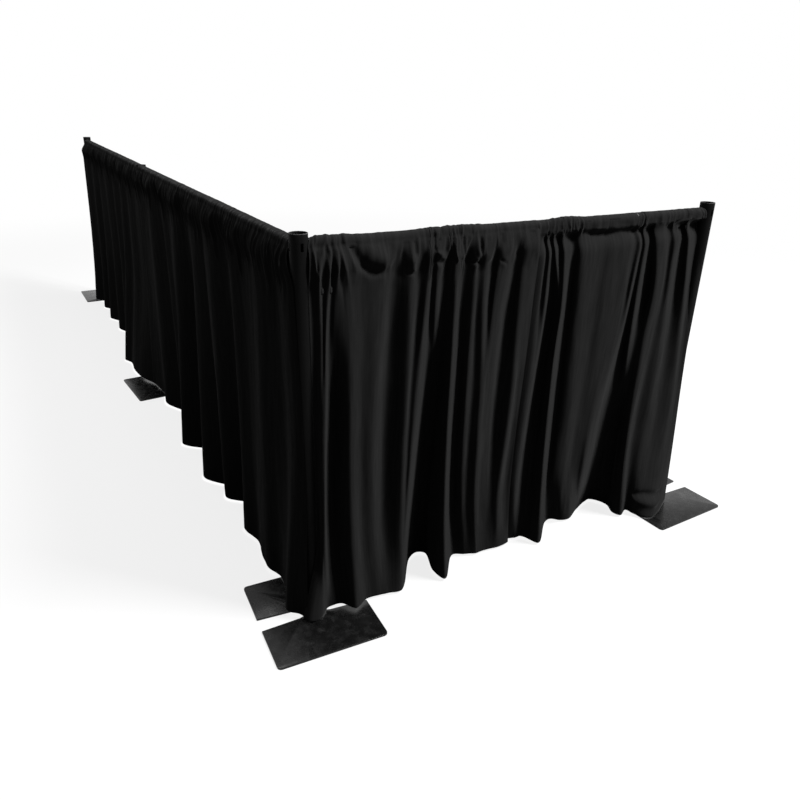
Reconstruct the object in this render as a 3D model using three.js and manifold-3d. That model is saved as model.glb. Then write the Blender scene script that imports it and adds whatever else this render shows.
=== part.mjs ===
// A low pipe and drape backdrop: two wings of black drape that meet at a square corner.
// Four steel base plates carry bolted pins, slotted uprights drop over the pins, and three
// telescoping crossbars hang by their end hooks in the uprights' slots. The drapes are
// threaded on the crossbars by the rod pockets along their top edges.
// Millimetres, +Z up, the floor at z = 0.
import * as THREE from 'three';
import { mergeVertices } from 'three/addons/utils/BufferGeometryUtils.js';
import Module from 'manifold-3d';

const wasm = await Module();
wasm.setup();

// Layout of the whole backdrop, from upright axis to upright axis
const standHeight = 1219.2; // floor to the open top of an upright
const barLongest = 2184.4; // the bay that a crossbar spans when it is drawn right out
const rightBay = 1558;
const nearBaySlack = 7.4; // how far the near crossbar is from drawn right out
const farBaySlack = 6.4;
const wingTurn = Math.PI / 2;

// Clearances between neighbouring pieces
const seatGap = 0.3; // between faces that rest on each other
const fitGap = 0.35; // round a plug, rivet or bolt in its hole
const overrun = 5; // how far a cutting shape runs past the face it cuts
const roundSides = 20;
const smallSides = 12;

// Base plate: cut from flat bar, with a tapered slot in each long side
const plateLength = 406.4;
const plateWidth = 355.6;
const plateThickness = 6.35;
const plateCorner = 12.7;
const slotMouth = 58;
const slotNeck = 44;
const slotWeb = 60; // metal left between the two slots, which carries the pin
const cornerSteps = 3;
const neckSteps = 5;

// Base pin, and the bolt, washer and nut that clamp it to its plate
const pinRadius = 23.1;
const pinWall = 4;
const pinHeight = 127;
const pinFloor = 12;
const pinChamfer = 3;
const boltRadius = 4.8;
const boltHeadRadius = 9.5;
const boltHeadHeight = 4.7;
const boltSink = 0.5; // the head lies this far above the plate's underside
const boltTip = 3;
const socketRadius = 3.4;
const socketDepth = 3;
const washerRadius = 9;
const washerThickness = 2;
const nutAcrossFlats = 16;
const nutHeight = 8;
const hexSides = 6;

// Upright: tube with four hook slots near its open top
const uprightRadius = 25.4;
const uprightWall = 1.65;
const slotRim = 23.7; // tube left above the hook slots
const middleSlotRim = 6.2; // the same on the middle upright, which ends below the drapes' top edge
const hookSlotWidth = 8;
const hookSlotHeight = 22.2;
const hookSlots = 4;

// Crossbar: a thinner tube that slides in a wider one, with a hook at each end
const outerTubeRadius = 19.05;
const innerTubeRadius = 15.88;
const barWall = 1.65;
const leastOverlap = 188.4; // of the two tubes, when the crossbar is drawn right out
const tubeDifference = 28; // the outer tube is this much longer than the inner one
const hookFaceGap = 1; // between the hook's collar and the upright
const collarLength = 6;
const plugLength = 40;
const tongueThickness = 6;
const tongueHeight = 12;
const tongueDrop = 4; // the tongue's middle lies this far below the bar's axis
const fingerDrop = 8;
const fingerDepth = 7;
const fingerGap = 0.8; // between the finger and the inside of the upright's wall
const rivetRadius = 2.4;
const rivetHeadRadius = 4.2;
const rivetHeadHeight = 0.9;
const rivetInset = 18; // from the tube's end
const bushFlange = 3;
const bushLength = 25;
const bushBoreGap = 0.45;
const guideFlange = 6;
const guideLength = 22;
const guideGap = 0.5;

// Drape: cloth with a rod pocket, hung on the bar and falling in folds to just over the plates
const clothThickness = 1;
const pocketRadius = 23.5; // middle of the cloth round the bar
const pocketSteps = 5;
const pocketRise = 0.6; // clear air between the cloth and the top of the bar
const hemHeight = 10.5;
const edgeClearance = 7; // from an upright's wall to the end of a pocket
const frontClearance = 3.1; // from an upright's wall to a drape that hangs in front of it
const foldDepth = 100; // full reach of a fold, which the depth shares are taken of
const panelGap = 3;
const looseSeam = 110; // bar's axis down to the pocket's seam, where the pocket hangs full
const tightSeam = 42; // the same where the pocket is drawn tight
const layerGap = 3.4; // between the middles of the pocket's two layers at the seam

const satinBlack = new THREE.MeshStandardMaterial({ color: 0x17181b, roughness: 0.42, metalness: 0.3 });
const plateBlack = new THREE.MeshStandardMaterial({ color: 0x1d1e1f, roughness: 0.55, metalness: 0.3 });
const zinc = new THREE.MeshStandardMaterial({ color: 0x8f9398, roughness: 0.4, metalness: 0.9 });
const bareAluminium = new THREE.MeshStandardMaterial({ color: 0x9a9da1, roughness: 0.38, metalness: 0.9 });
const nylon = new THREE.MeshStandardMaterial({ color: 0x222222, roughness: 0.6, metalness: 0 });
const cloth = new THREE.MeshStandardMaterial({ color: 0x0d0d0f, roughness: 0.72, metalness: 0 });

const plateHalfLength = plateLength / 2;
const plateHalfWidth = plateWidth / 2;
const uprightBore = uprightRadius - uprightWall;
const outerTubeBore = outerTubeRadius - barWall;
const innerTubeBore = innerTubeRadius - barWall;
const barEnd = uprightRadius + hookFaceGap + collarLength; // upright's axis to a tube's end
const outerTubeLength = (barLongest - 2 * barEnd + leastOverlap + tubeDifference) / 2;
const innerTubeLength = outerTubeLength - tubeDifference;
const nearBay = barLongest - nearBaySlack;
const farBay = barLongest - farBaySlack;
const pinFoot = plateThickness + seatGap;
const boltHole = boltRadius + fitGap;
const hookSlotTop = standHeight - slotRim;
const hookSlotFoot = hookSlotTop - hookSlotHeight;
const barHeight = hookSlotFoot + seatGap + tongueHeight / 2 + tongueDrop; // floor to the bars' axis

function vec(x, y) {
  return new THREE.Vector2(x, y);
}

// Turns a profile of [radius, height] pairs about the Z axis
function turned(profile, sides) {
  const geometry = new THREE.LatheGeometry(profile.map(([r, z]) => vec(r, z)), sides);
  return geometry.rotateX(Math.PI / 2);
}

function ring(outer, inner, foot, top, sides) {
  return turned([[inner, foot], [outer, foot], [outer, top], [inner, top], [inner, foot]], sides);
}

function rod(radius, foot, top, sides) {
  return turned([[0, foot], [radius, foot], [radius, top], [0, top]], sides);
}

function box(width, depth, height, x, y, z) {
  return new THREE.BoxGeometry(width, depth, height).translate(x, y, z);
}

function toSolid(geometry) {
  const bare = geometry.clone();
  bare.deleteAttribute('normal');
  bare.deleteAttribute('uv');
  const merged = mergeVertices(bare);
  return new wasm.Manifold(new wasm.Mesh({
    numProp: 3,
    vertProperties: new Float32Array(merged.attributes.position.array),
    triVerts: new Uint32Array(merged.index.array),
  }));
}

function toGeometry(solid) {
  const mesh = solid.getMesh();
  const geometry = new THREE.BufferGeometry();
  geometry.setAttribute('position', new THREE.BufferAttribute(new Float32Array(mesh.vertProperties), 3));
  geometry.setIndex(new THREE.BufferAttribute(new Uint32Array(mesh.triVerts), 1));
  return geometry;
}

function cut(geometry, tools) {
  return toGeometry(tools.reduce((solid, tool) => solid.subtract(toSolid(tool)), toSolid(geometry)));
}

function join(geometries) {
  return toGeometry(geometries.map(toSolid).reduce((solid, next) => solid.add(next)));
}

function piece(name, geometry, material) {
  const mesh = new THREE.Mesh(geometry, material);
  mesh.name = name;
  return mesh;
}

// Lies a shape that stands on +Z along +X instead
function alongX(geometry) {
  return geometry.rotateY(Math.PI / 2);
}

// Base plate, seen from above: long sides across the wing, slots in the middle of both
function plateOutline() {
  const shape = new THREE.Shape();
  const neckRadius = slotNeck / 2;
  const neckAt = slotWeb / 2 + neckRadius;
  const corners = [[1, -1], [1, 1], [-1, 1], [-1, -1]];
  shape.moveTo(-plateHalfWidth + plateCorner, -plateHalfLength);
  corners.forEach(([sideX, sideY], i) => {
    const cx = sideX * (plateHalfWidth - plateCorner);
    const cy = sideY * (plateHalfLength - plateCorner);
    const start = -Math.PI / 2 + i * Math.PI / 2;
    for (let k = 0; k <= cornerSteps; k += 1) {
      const angle = start + (k / cornerSteps) * Math.PI / 2;
      shape.lineTo(cx + plateCorner * Math.cos(angle), cy + plateCorner * Math.sin(angle));
    }
    if (i % 2 === 0) {
      const side = sideX;
      shape.lineTo(side * plateHalfWidth, -side * slotMouth / 2);
      for (let k = 0; k <= neckSteps; k += 1) {
        const angle = -Math.PI / 2 - (k / neckSteps) * Math.PI;
        shape.lineTo(side * (neckAt + neckRadius * Math.cos(angle)), side * neckRadius * Math.sin(angle));
      }
      shape.lineTo(side * plateHalfWidth, side * slotMouth / 2);
    }
  });
  shape.closePath();
  return shape;
}

function basePlate() {
  const slab = new THREE.ExtrudeGeometry(plateOutline(), {
    depth: plateThickness,
    bevelEnabled: false,
    steps: 1,
  });
  const sinkRadius = boltHeadRadius + fitGap;
  const sinkTop = boltSink + boltHeadHeight;
  const bolthole = turned([
    [0, -overrun], [sinkRadius, -overrun], [sinkRadius, boltSink],
    [boltHole, sinkTop], [boltHole, plateThickness + overrun], [0, plateThickness + overrun],
  ], roundSides);
  return cut(slab, [bolthole]);
}

function basePin() {
  const bore = pinRadius - pinWall;
  const floorTop = pinFoot + pinFloor;
  const top = pinFoot + pinHeight;
  return turned([
    [boltHole, pinFoot], [pinRadius, pinFoot], [pinRadius, top - pinChamfer],
    [pinRadius - pinChamfer, top], [bore, top], [bore, floorTop], [boltHole, floorTop], [boltHole, pinFoot],
  ], roundSides);
}

const washerFoot = pinFoot + pinFloor + seatGap;
const nutFoot = washerFoot + washerThickness + seatGap;

function pinBolt() {
  const headTop = boltSink + boltHeadHeight - fitGap;
  const tip = nutFoot + nutHeight + boltTip;
  return turned([
    [0, boltSink + socketDepth], [socketRadius, boltSink + socketDepth], [socketRadius, boltSink],
    [boltHeadRadius, boltSink], [boltRadius, headTop], [boltRadius, tip], [0, tip],
  ], smallSides);
}

function pinNut() {
  const across = nutAcrossFlats / 2 / Math.cos(Math.PI / hexSides);
  const block = rod(across, nutFoot, nutFoot + nutHeight, hexSides);
  return cut(block, [rod(boltHole, nutFoot - overrun, nutFoot + nutHeight + overrun, smallSides)]);
}

function upright(top) {
  const tube = ring(uprightRadius, uprightBore, pinFoot, top, roundSides);
  const slots = [];
  for (let i = 0; i < hookSlots; i += 1) {
    const slot = box(uprightRadius, hookSlotWidth, hookSlotHeight, uprightRadius, 0, 0);
    slot.translate(0, 0, hookSlotFoot + hookSlotHeight / 2);
    slots.push(slot.rotateZ(i * 2 * Math.PI / hookSlots));
  }
  return cut(tube, slots);
}

// One stand: plate, pin with its bolt, washer and nut, and upright
function stand(name, top, plateTurn) {
  const group = new THREE.Group();
  const base = new THREE.Group();
  base.rotation.z = plateTurn;
  base.add(piece(`${name}_base_plate`, basePlate(), plateBlack));
  base.add(piece(`${name}_base_pin`, basePin(), bareAluminium));
  base.add(piece(`${name}_pin_bolt`, pinBolt(), zinc));
  const washer = ring(washerRadius, boltHole, washerFoot, washerFoot + washerThickness, smallSides);
  base.add(piece(`${name}_lock_washer`, washer, zinc));
  base.add(piece(`${name}_pin_nut`, pinNut(), zinc));
  group.add(base);
  group.add(piece(`${name}_upright`, upright(top), satinBlack));
  return group;
}

// Hook at one end of a crossbar, for an upright at the origin and a tube that runs along +X
function hook(tubeRadius, tubeBore) {
  const plugRadius = tubeBore - fitGap;
  const collarFace = barEnd - collarLength;
  const body = alongX(turned([
    [0, collarFace], [tubeRadius, collarFace], [tubeRadius, barEnd - seatGap],
    [plugRadius, barEnd - seatGap], [plugRadius, barEnd + plugLength], [0, barEnd + plugLength],
  ], roundSides));
  const reach = uprightBore - fingerGap - fingerDepth;
  const tongueMiddle = -tongueDrop;
  const tongueLength = collarFace + collarLength / 2 - reach;
  const tongue = box(tongueLength, tongueThickness, tongueHeight, reach + tongueLength / 2, 0, tongueMiddle);
  const fingerTop = tongueMiddle + tongueHeight / 2;
  const fingerHeight = tongueHeight + fingerDrop;
  const finger = box(fingerDepth, tongueThickness, fingerHeight, reach + fingerDepth / 2, 0, 0);
  finger.translate(0, 0, fingerTop - fingerHeight / 2);
  const rivetHole = rod(rivetRadius + fitGap, -tubeRadius - overrun, tubeRadius + overrun, smallSides);
  rivetHole.rotateX(Math.PI / 2).translate(barEnd + rivetInset, 0, 0);
  return cut(join([body, tongue, finger]), [rivetHole]);
}

function hookRivet(tubeRadius) {
  const face = tubeRadius + seatGap;
  const end = face + rivetHeadHeight;
  const rivet = turned([
    [0, -end], [rivetHeadRadius, -face], [rivetRadius, -face],
    [rivetRadius, face], [rivetHeadRadius, face], [0, end],
  ], smallSides);
  return rivet.rotateX(Math.PI / 2).translate(barEnd + rivetInset, 0, 0);
}

function barTube(radius, length) {
  const tube = alongX(ring(radius, radius - barWall, barEnd, barEnd + length, roundSides));
  const hole = rod(rivetRadius + fitGap, -radius - overrun, radius + overrun, smallSides);
  hole.rotateX(Math.PI / 2).translate(barEnd + rivetInset, 0, 0);
  return cut(tube, [hole]);
}

function mouthBush() {
  const mouth = barEnd + outerTubeLength;
  const bore = innerTubeRadius + bushBoreGap;
  const sleeve = outerTubeBore - fitGap;
  const flangeFace = mouth + seatGap;
  return alongX(turned([
    [bore, mouth - bushLength], [sleeve, mouth - bushLength], [sleeve, flangeFace],
    [outerTubeRadius, flangeFace], [outerTubeRadius, flangeFace + bushFlange],
    [bore, flangeFace + bushFlange], [bore, mouth - bushLength],
  ], roundSides));
}

function guidePlug() {
  const tubeEnd = barEnd + innerTubeLength;
  const inside = innerTubeBore - fitGap;
  const flange = outerTubeBore - guideGap;
  return alongX(turned([
    [0, tubeEnd - guideLength], [inside, tubeEnd - guideLength], [inside, tubeEnd + seatGap],
    [flange, tubeEnd + seatGap], [flange, tubeEnd + seatGap + guideFlange], [0, tubeEnd + seatGap + guideFlange],
  ], roundSides));
}

// One telescoping crossbar from an upright at the origin to one at x = span
function crossbar(name, span) {
  const group = new THREE.Group();
  const fixed = new THREE.Group();
  fixed.add(piece(`${name}_bar_outer_tube`, barTube(outerTubeRadius, outerTubeLength), satinBlack));
  fixed.add(piece(`${name}_bar_outer_hook`, hook(outerTubeRadius, outerTubeBore), zinc));
  fixed.add(piece(`${name}_bar_outer_rivet`, hookRivet(outerTubeRadius), zinc));
  fixed.add(piece(`${name}_bar_mouth_bush`, mouthBush(), nylon));
  const sliding = new THREE.Group();
  sliding.rotation.z = Math.PI;
  sliding.position.x = span;
  sliding.add(piece(`${name}_bar_inner_tube`, barTube(innerTubeRadius, innerTubeLength), bareAluminium));
  sliding.add(piece(`${name}_bar_inner_hook`, hook(innerTubeRadius, innerTubeBore), zinc));
  sliding.add(piece(`${name}_bar_inner_rivet`, hookRivet(innerTubeRadius), zinc));
  sliding.add(piece(`${name}_bar_guide_plug`, guidePlug(), nylon));
  group.add(fixed, sliding);
  group.position.z = barHeight;
  return group;
}

// Folds of each bay, one row for each crest or valley: where it lies along the bay at the
// seam, half way down and at the hem, and how far it stands out there. Places are shares of
// the pocket's length and depths are shares of the fold depth, outwards from the upright.
const rightFoldShares = [
  [0.004, -0.004, -0.028, 0.02, 0.04, 0.12],
  [0.022, 0.009, -0.016, 0.10, 0.17, 0.30],
  [0.038, 0.033, 0.030, -0.05, -0.12, -0.08],
  [0.069, 0.077, 0.070, 0.10, 0.20, 0.42],
  [0.098, 0.099, 0.103, 0.07, 0.07, 0.10],
  [0.123, 0.121, 0.125, 0.10, 0.15, 0.07],
  [0.162, 0.159, 0.145, -0.05, -0.03, 0.02],
  [0.199, 0.203, 0.185, 0.10, 0.20, 0.19],
  [0.247, 0.243, 0.262, -0.12, -0.50, -1.38],
  [0.298, 0.305, 0.293, 0.08, 0.23, 0.33],
  [0.323, 0.326, 0.356, -0.08, -0.13, -0.62],
  [0.349, 0.351, 0.388, 0.05, 0.10, -0.34],
  [0.366, 0.369, 0.402, 0.00, 0.02, -0.28],
  [0.391, 0.386, 0.425, 0.07, 0.13, -0.20],
  [0.428, 0.427, 0.447, -0.08, -0.10, -0.28],
  [0.467, 0.467, 0.477, 0.07, 0.13, -0.18],
  [0.494, 0.491, 0.499, -0.04, -0.04, -0.20],
  [0.520, 0.508, 0.510, 0.03, 0.06, -0.30],
  [0.545, 0.544, 0.540, -0.17, -0.34, -0.66],
  [0.577, 0.588, 0.586, 0.08, 0.22, 0.10],
  [0.606, 0.618, 0.658, -0.08, -0.15, -0.82],
  [0.637, 0.656, 0.700, 0.02, 0.05, -0.48],
  [0.708, 0.708, 0.726, 0.05, 0.03, -0.46],
  [0.759, 0.752, 0.748, 0.05, 0.02, -0.60],
  [0.801, 0.798, 0.815, -0.03, -0.46, -1.18],
  [0.878, 0.871, 0.862, 0.05, 0.19, 0.36],
  [0.897, 0.900, 0.905, -0.04, 0.02, 0.12],
  [0.929, 0.937, 0.953, 0.05, 0.14, 0.46],
  [0.962, 0.970, 0.990, -0.02, 0.08, 0.36],
  [0.996, 1.016, 1.040, 0.02, 0.06, 0.20],
];
const nearFoldShares = [
  [0.004, -0.006, -0.026, 0.02, 0.05, 0.12],
  [0.044, 0.040, 0.034, -0.10, -0.12, -0.06],
  [0.106, 0.108, 0.112, 0.07, 0.14, 0.24],
  [0.146, 0.147, 0.148, 0.00, 0.06, 0.12],
  [0.194, 0.194, 0.192, -0.04, 0.00, 0.04],
  [0.240, 0.241, 0.244, 0.05, 0.14, 0.27],
  [0.286, 0.284, 0.284, -0.16, -0.34, -0.58],
  [0.362, 0.360, 0.352, 0.05, 0.14, 0.30],
  [0.414, 0.412, 0.408, -0.02, 0.04, 0.17],
  [0.470, 0.468, 0.462, 0.05, 0.22, 0.62],
  [0.556, 0.554, 0.548, -0.16, -0.34, -0.62],
  [0.618, 0.622, 0.628, 0.05, 0.24, 0.68],
  [0.690, 0.692, 0.694, -0.03, 0.02, -0.10],
  [0.736, 0.738, 0.740, 0.03, 0.08, 0.10],
  [0.784, 0.784, 0.784, -0.14, -0.26, -0.40],
  [0.868, 0.868, 0.868, 0.06, 0.20, 0.38],
  [0.930, 0.932, 0.934, -0.04, 0.08, 0.20],
  [0.996, 1.008, 1.012, 0.03, 0.16, 0.42],
];
const farFoldShares = [
  [0.004, -0.008, -0.008, 0.02, 0.14, 0.40],
  [0.060, 0.060, 0.062, -0.05, 0.06, 0.16],
  [0.124, 0.126, 0.130, 0.06, 0.26, 0.62],
  [0.180, 0.180, 0.182, -0.08, 0.04, 0.10],
  [0.232, 0.234, 0.236, 0.06, 0.40, 1.14],
  [0.306, 0.306, 0.304, -0.10, -0.06, -0.10],
  [0.380, 0.382, 0.386, 0.06, 0.20, 0.50],
  [0.450, 0.450, 0.448, -0.12, -0.14, -0.20],
  [0.524, 0.526, 0.530, 0.06, 0.20, 0.44],
  [0.598, 0.598, 0.600, -0.05, 0.06, 0.18],
  [0.668, 0.670, 0.674, 0.06, 0.28, 0.62],
  [0.742, 0.742, 0.740, -0.10, -0.04, -0.10],
  [0.812, 0.814, 0.818, 0.06, 0.26, 0.60],
  [0.880, 0.880, 0.882, -0.05, 0.12, 0.30],
  [0.938, 0.942, 0.948, 0.05, 0.38, 0.90],
  [0.996, 1.010, 1.030, 0.03, 0.26, 0.56],
];

// Depths of the skirt's rows below the seam
const skirtRowShares = [0.22, 0.5, 0.78, 1];

// A value that is given at the seam, half way down and at the hem, at any share of the drop
function down(share, [top, middle, hem]) {
  const u = share;
  return top * (1 - u) * (1 - 2 * u) + middle * 4 * u * (1 - u) + hem * u * (2 * u - 1);
}

// One row of points across a panel, on a smooth curve through its crests and valleys: x runs
// along the bay and y outwards
function foldRow(rows, share, span) {
  const inset = uprightRadius + edgeClearance;
  const front = uprightRadius + frontClearance;
  const knots = rows.map((row) => new THREE.Vector3(
    inset + down(share, row.slice(0, 3)) * (span - 2 * inset),
    front + down(share, row.slice(3)) * foldDepth,
    0,
  ));
  const curve = new THREE.CatmullRomCurve3(knots, false, 'centripetal');
  return curve.getPoints(2 * (knots.length - 1));
}

// Middle surface of a panel, row by row: up the back of the pocket, over the bar, down to the
// hem. The folds stand out on the side that outwards names, 1 for +Y and -1 for -Y.
function panelRows(rows, seam, span, outwards) {
  const seamRow = foldRow(rows, 0, span);
  const flat = pocketRadius * Math.cos(Math.PI / 2 / pocketSteps);
  const centre = outerTubeRadius + pocketRise + clothThickness / 2 - flat;
  const over = [];
  for (let k = 0; k <= pocketSteps; k += 1) {
    const angle = Math.PI * (1 - k / pocketSteps);
    const y = pocketRadius * Math.cos(angle);
    const z = centre + pocketRadius * Math.sin(angle);
    over.push(seamRow.map((p) => [p.x, y, z]));
  }
  const back = seamRow.map((p) => [p.x, p.y - layerGap, -seam]);
  const lift = seamRow.map((p) => [p.x, -pocketRadius, centre - pocketRadius / 2]);
  const front = seamRow.map((p) => [p.x, p.y, -seam]);
  const drop = barHeight - hemHeight - seam;
  const skirt = skirtRowShares.map(
    (share) => foldRow(rows, share, span).map((p) => [p.x, p.y, -seam - share * drop]),
  );
  const sheet = [back, lift, ...over, front, ...skirt].map(
    (row) => row.map(([x, y, z]) => new THREE.Vector3(x, outwards * y, z)),
  );
  return outwards > 0 ? sheet.map((row) => row.reverse()) : sheet;
}

// Gives a sheet of points its thickness and closes it along its four edges
function thicken(rows, thickness) {
  const high = rows.length;
  const wide = rows[0].length;
  const at = (j, i) => rows[Math.min(Math.max(j, 0), high - 1)][Math.min(Math.max(i, 0), wide - 1)];
  const points = [];
  for (const side of [1, -1]) {
    for (let j = 0; j < high; j += 1) {
      for (let i = 0; i < wide; i += 1) {
        const across = at(j, i + 1).clone().sub(at(j, i - 1));
        const along = at(j + 1, i).clone().sub(at(j - 1, i));
        const normal = along.cross(across).normalize();
        const p = at(j, i).clone().addScaledVector(normal, side * thickness / 2);
        points.push(p.x, p.y, p.z);
      }
    }
  }
  const index = [];
  const id = (side, j, i) => (side * high + j) * wide + i;
  const quad = (a, b, c, d) => index.push(a, b, c, a, c, d);
  for (let j = 0; j < high - 1; j += 1) {
    for (let i = 0; i < wide - 1; i += 1) {
      quad(id(0, j, i), id(0, j + 1, i), id(0, j + 1, i + 1), id(0, j, i + 1));
      quad(id(1, j, i), id(1, j, i + 1), id(1, j + 1, i + 1), id(1, j + 1, i));
    }
  }
  for (let j = 0; j < high - 1; j += 1) {
    quad(id(0, j, 0), id(1, j, 0), id(1, j + 1, 0), id(0, j + 1, 0));
    quad(id(0, j + 1, wide - 1), id(1, j + 1, wide - 1), id(1, j, wide - 1), id(0, j, wide - 1));
  }
  for (let i = 0; i < wide - 1; i += 1) {
    quad(id(0, 0, i + 1), id(1, 0, i + 1), id(1, 0, i), id(0, 0, i));
    quad(id(0, high - 1, i), id(1, high - 1, i), id(1, high - 1, i + 1), id(0, high - 1, i + 1));
  }
  const geometry = new THREE.BufferGeometry();
  geometry.setAttribute('position', new THREE.BufferAttribute(new Float32Array(points), 3));
  geometry.setIndex(index);
  return geometry;
}

// Shifts the rows of a table along the bay, to leave the gap beside the next panel
function shifted(row, share) {
  return row.map((value, k) => (k < 3 ? value + share : value));
}

// The two panels of one bay, which meet at one valley of its fold table
function drapes(name, span, table, meeting, seams, outwards) {
  const group = new THREE.Group();
  const half = panelGap / 2 / span;
  const first = table.slice(0, meeting + 1);
  const second = table.slice(meeting);
  first.push(shifted(first.pop(), -half));
  second.unshift(shifted(second.shift(), half));
  [first, second].forEach((rows, i) => {
    const sheet = thicken(panelRows(rows, seams[i], span, outwards), clothThickness);
    group.add(piece(`${name}_drape_${i + 1}`, sheet, cloth));
  });
  group.position.z = barHeight;
  return group;
}

// How far each plate lies turned on its pin from square with its wing
const cornerPlateTurn = THREE.MathUtils.degToRad(-3);
const rightPlateTurn = THREE.MathUtils.degToRad(2);
const middlePlateTurn = THREE.MathUtils.degToRad(95);
const leftPlateTurn = THREE.MathUtils.degToRad(91.5);

const backdrop = new THREE.Group();
const cornerStand = stand('corner', standHeight, cornerPlateTurn);
const rightStand = stand('right', standHeight, rightPlateTurn);
const middleStand = stand('middle', hookSlotTop + middleSlotRim, middlePlateTurn);
const leftStand = stand('left', standHeight, leftPlateTurn);
rightStand.position.x = rightBay;
middleStand.position.y = nearBay;
leftStand.position.y = nearBay + farBay;
backdrop.add(cornerStand, rightStand, middleStand, leftStand);

const rightWing = new THREE.Group();
const rightMeeting = 18;
rightWing.add(crossbar('right', rightBay));
rightWing.add(drapes('right', rightBay, rightFoldShares, rightMeeting, [looseSeam, tightSeam], -1));
backdrop.add(rightWing);

// A bay of the left wing, which runs along +Y from one upright to the next
function leftBay(name, span, start, table, meeting) {
  const wing = new THREE.Group();
  wing.rotation.z = wingTurn;
  wing.position.y = start;
  wing.add(crossbar(name, span));
  wing.add(drapes(name, span, table, meeting, [looseSeam, looseSeam], 1));
  return wing;
}

const nearMeeting = 8;
const farMeeting = 7;
backdrop.add(leftBay('near', nearBay, 0, nearFoldShares, nearMeeting));
backdrop.add(leftBay('far', farBay, nearBay, farFoldShares, farMeeting));

// The origin is the middle of the backdrop's footprint, on the floor
backdrop.updateMatrixWorld(true);
const extent = new THREE.Box3().setFromObject(backdrop, true);
const middle = extent.getCenter(new THREE.Vector3());
backdrop.position.set(-middle.x, -middle.y, -extent.min.z);
backdrop.updateMatrixWorld(true);

export default backdrop;
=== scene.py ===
import math

import bmesh
import bpy
import numpy as np
from mathutils import Matrix, Vector, noise


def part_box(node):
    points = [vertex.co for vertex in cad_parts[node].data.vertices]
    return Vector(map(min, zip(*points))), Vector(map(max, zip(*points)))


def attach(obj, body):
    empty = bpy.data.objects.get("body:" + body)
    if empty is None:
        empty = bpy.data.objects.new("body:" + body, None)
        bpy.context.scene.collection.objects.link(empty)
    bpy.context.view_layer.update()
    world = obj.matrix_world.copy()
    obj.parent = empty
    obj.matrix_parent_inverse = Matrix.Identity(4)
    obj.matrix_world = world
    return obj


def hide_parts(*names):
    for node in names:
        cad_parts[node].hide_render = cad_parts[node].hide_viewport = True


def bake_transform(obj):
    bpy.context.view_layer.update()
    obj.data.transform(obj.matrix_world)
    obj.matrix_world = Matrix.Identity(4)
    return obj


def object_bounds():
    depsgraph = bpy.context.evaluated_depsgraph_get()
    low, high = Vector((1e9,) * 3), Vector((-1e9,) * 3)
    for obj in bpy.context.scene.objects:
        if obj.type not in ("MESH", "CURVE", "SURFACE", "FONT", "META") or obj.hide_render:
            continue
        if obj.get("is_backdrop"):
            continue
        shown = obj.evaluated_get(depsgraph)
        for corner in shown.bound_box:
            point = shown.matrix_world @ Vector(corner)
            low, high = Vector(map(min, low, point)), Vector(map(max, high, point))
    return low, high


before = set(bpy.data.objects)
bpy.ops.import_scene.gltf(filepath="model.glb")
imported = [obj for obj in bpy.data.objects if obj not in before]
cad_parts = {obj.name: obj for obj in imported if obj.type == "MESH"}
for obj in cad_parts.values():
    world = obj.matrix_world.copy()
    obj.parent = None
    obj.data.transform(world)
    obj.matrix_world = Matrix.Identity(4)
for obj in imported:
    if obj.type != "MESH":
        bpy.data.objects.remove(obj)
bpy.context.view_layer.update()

# Camera
# It stands a little left of the corner, at eye height, and looks down along the short wing
# through a moderately wide lens.
CORNER_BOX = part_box("corner_upright")
CORNER = (CORNER_BOX[0] + CORNER_BOX[1]) / 2
EYE_FROM_CORNER = Vector((-0.6457, -1.6853, 0))
EYE_HEIGHT = 1.5404
LENS = 31.053
SENSOR = 36
CAMERA_REACH = 200
YAW = math.radians(29.558)
PITCH = math.radians(23.670)
ROLL = math.radians(-1.226)

forward = Vector((math.sin(YAW) * math.cos(PITCH), math.cos(YAW) * math.cos(PITCH), -math.sin(PITCH)))
level_right = Vector((math.cos(YAW), -math.sin(YAW), 0))
level_down = forward.cross(level_right)
right = math.cos(ROLL) * level_right + math.sin(ROLL) * level_down
down = -math.sin(ROLL) * level_right + math.cos(ROLL) * level_down
camera_data = bpy.data.cameras.new("photo_camera")
camera_data.lens = LENS
camera_data.sensor_width = SENSOR
camera_data.clip_end = CAMERA_REACH
camera = bpy.data.objects.new("photo_camera", camera_data)
eye = Vector((CORNER.x, CORNER.y, 0)) + EYE_FROM_CORNER + Vector((0, 0, EYE_HEIGHT))
camera.matrix_world = Matrix.Translation(eye) @ Matrix((right, -down, -forward)).transposed().to_4x4()
bpy.context.collection.objects.link(camera)
bpy.context.scene.camera = camera
bpy.context.scene.view_settings.view_transform = "Standard"

# Floor and light
# A plain pale floor runs out to a white surround. One broad soft lamp hangs high to the right
# of the short wing and one overhead, and the surround fills in weakly from all sides.
FLOOR_REACH = 40
FLOOR_WHITE = 0.9
FLOOR_BOUNCE = 0.1
FLOOR_WHITENING = 0.82
WHITE_FROM = 3.0
WHITE_BEYOND = 7.0
FILL_STRENGTH = 0.09
# each lamp's name, place, aim, width and height, and power
LAMPS = (
    ("right_lamp", (4.6, -6.0, 8.5), (0.2, -0.6, 0.6), (2.6, 2.6), 1650),
    ("overhead_lamp", (0.6, 0.2, 4.6), (-0.6, 0, 0), (2.0, 5.2), 160),
)


def new_material(name):
    material = bpy.data.materials.new(name)
    material.use_nodes = True
    material.node_tree.nodes.clear()
    return material, material.node_tree.nodes, material.node_tree.links


def calc(nodes, links, operation, *values):
    node = nodes.new("ShaderNodeMath")
    node.operation = operation
    for socket, value in zip(node.inputs, values):
        if isinstance(value, (int, float)):
            socket.default_value = value
        else:
            links.new(value, socket)
    return node.outputs[0]


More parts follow.
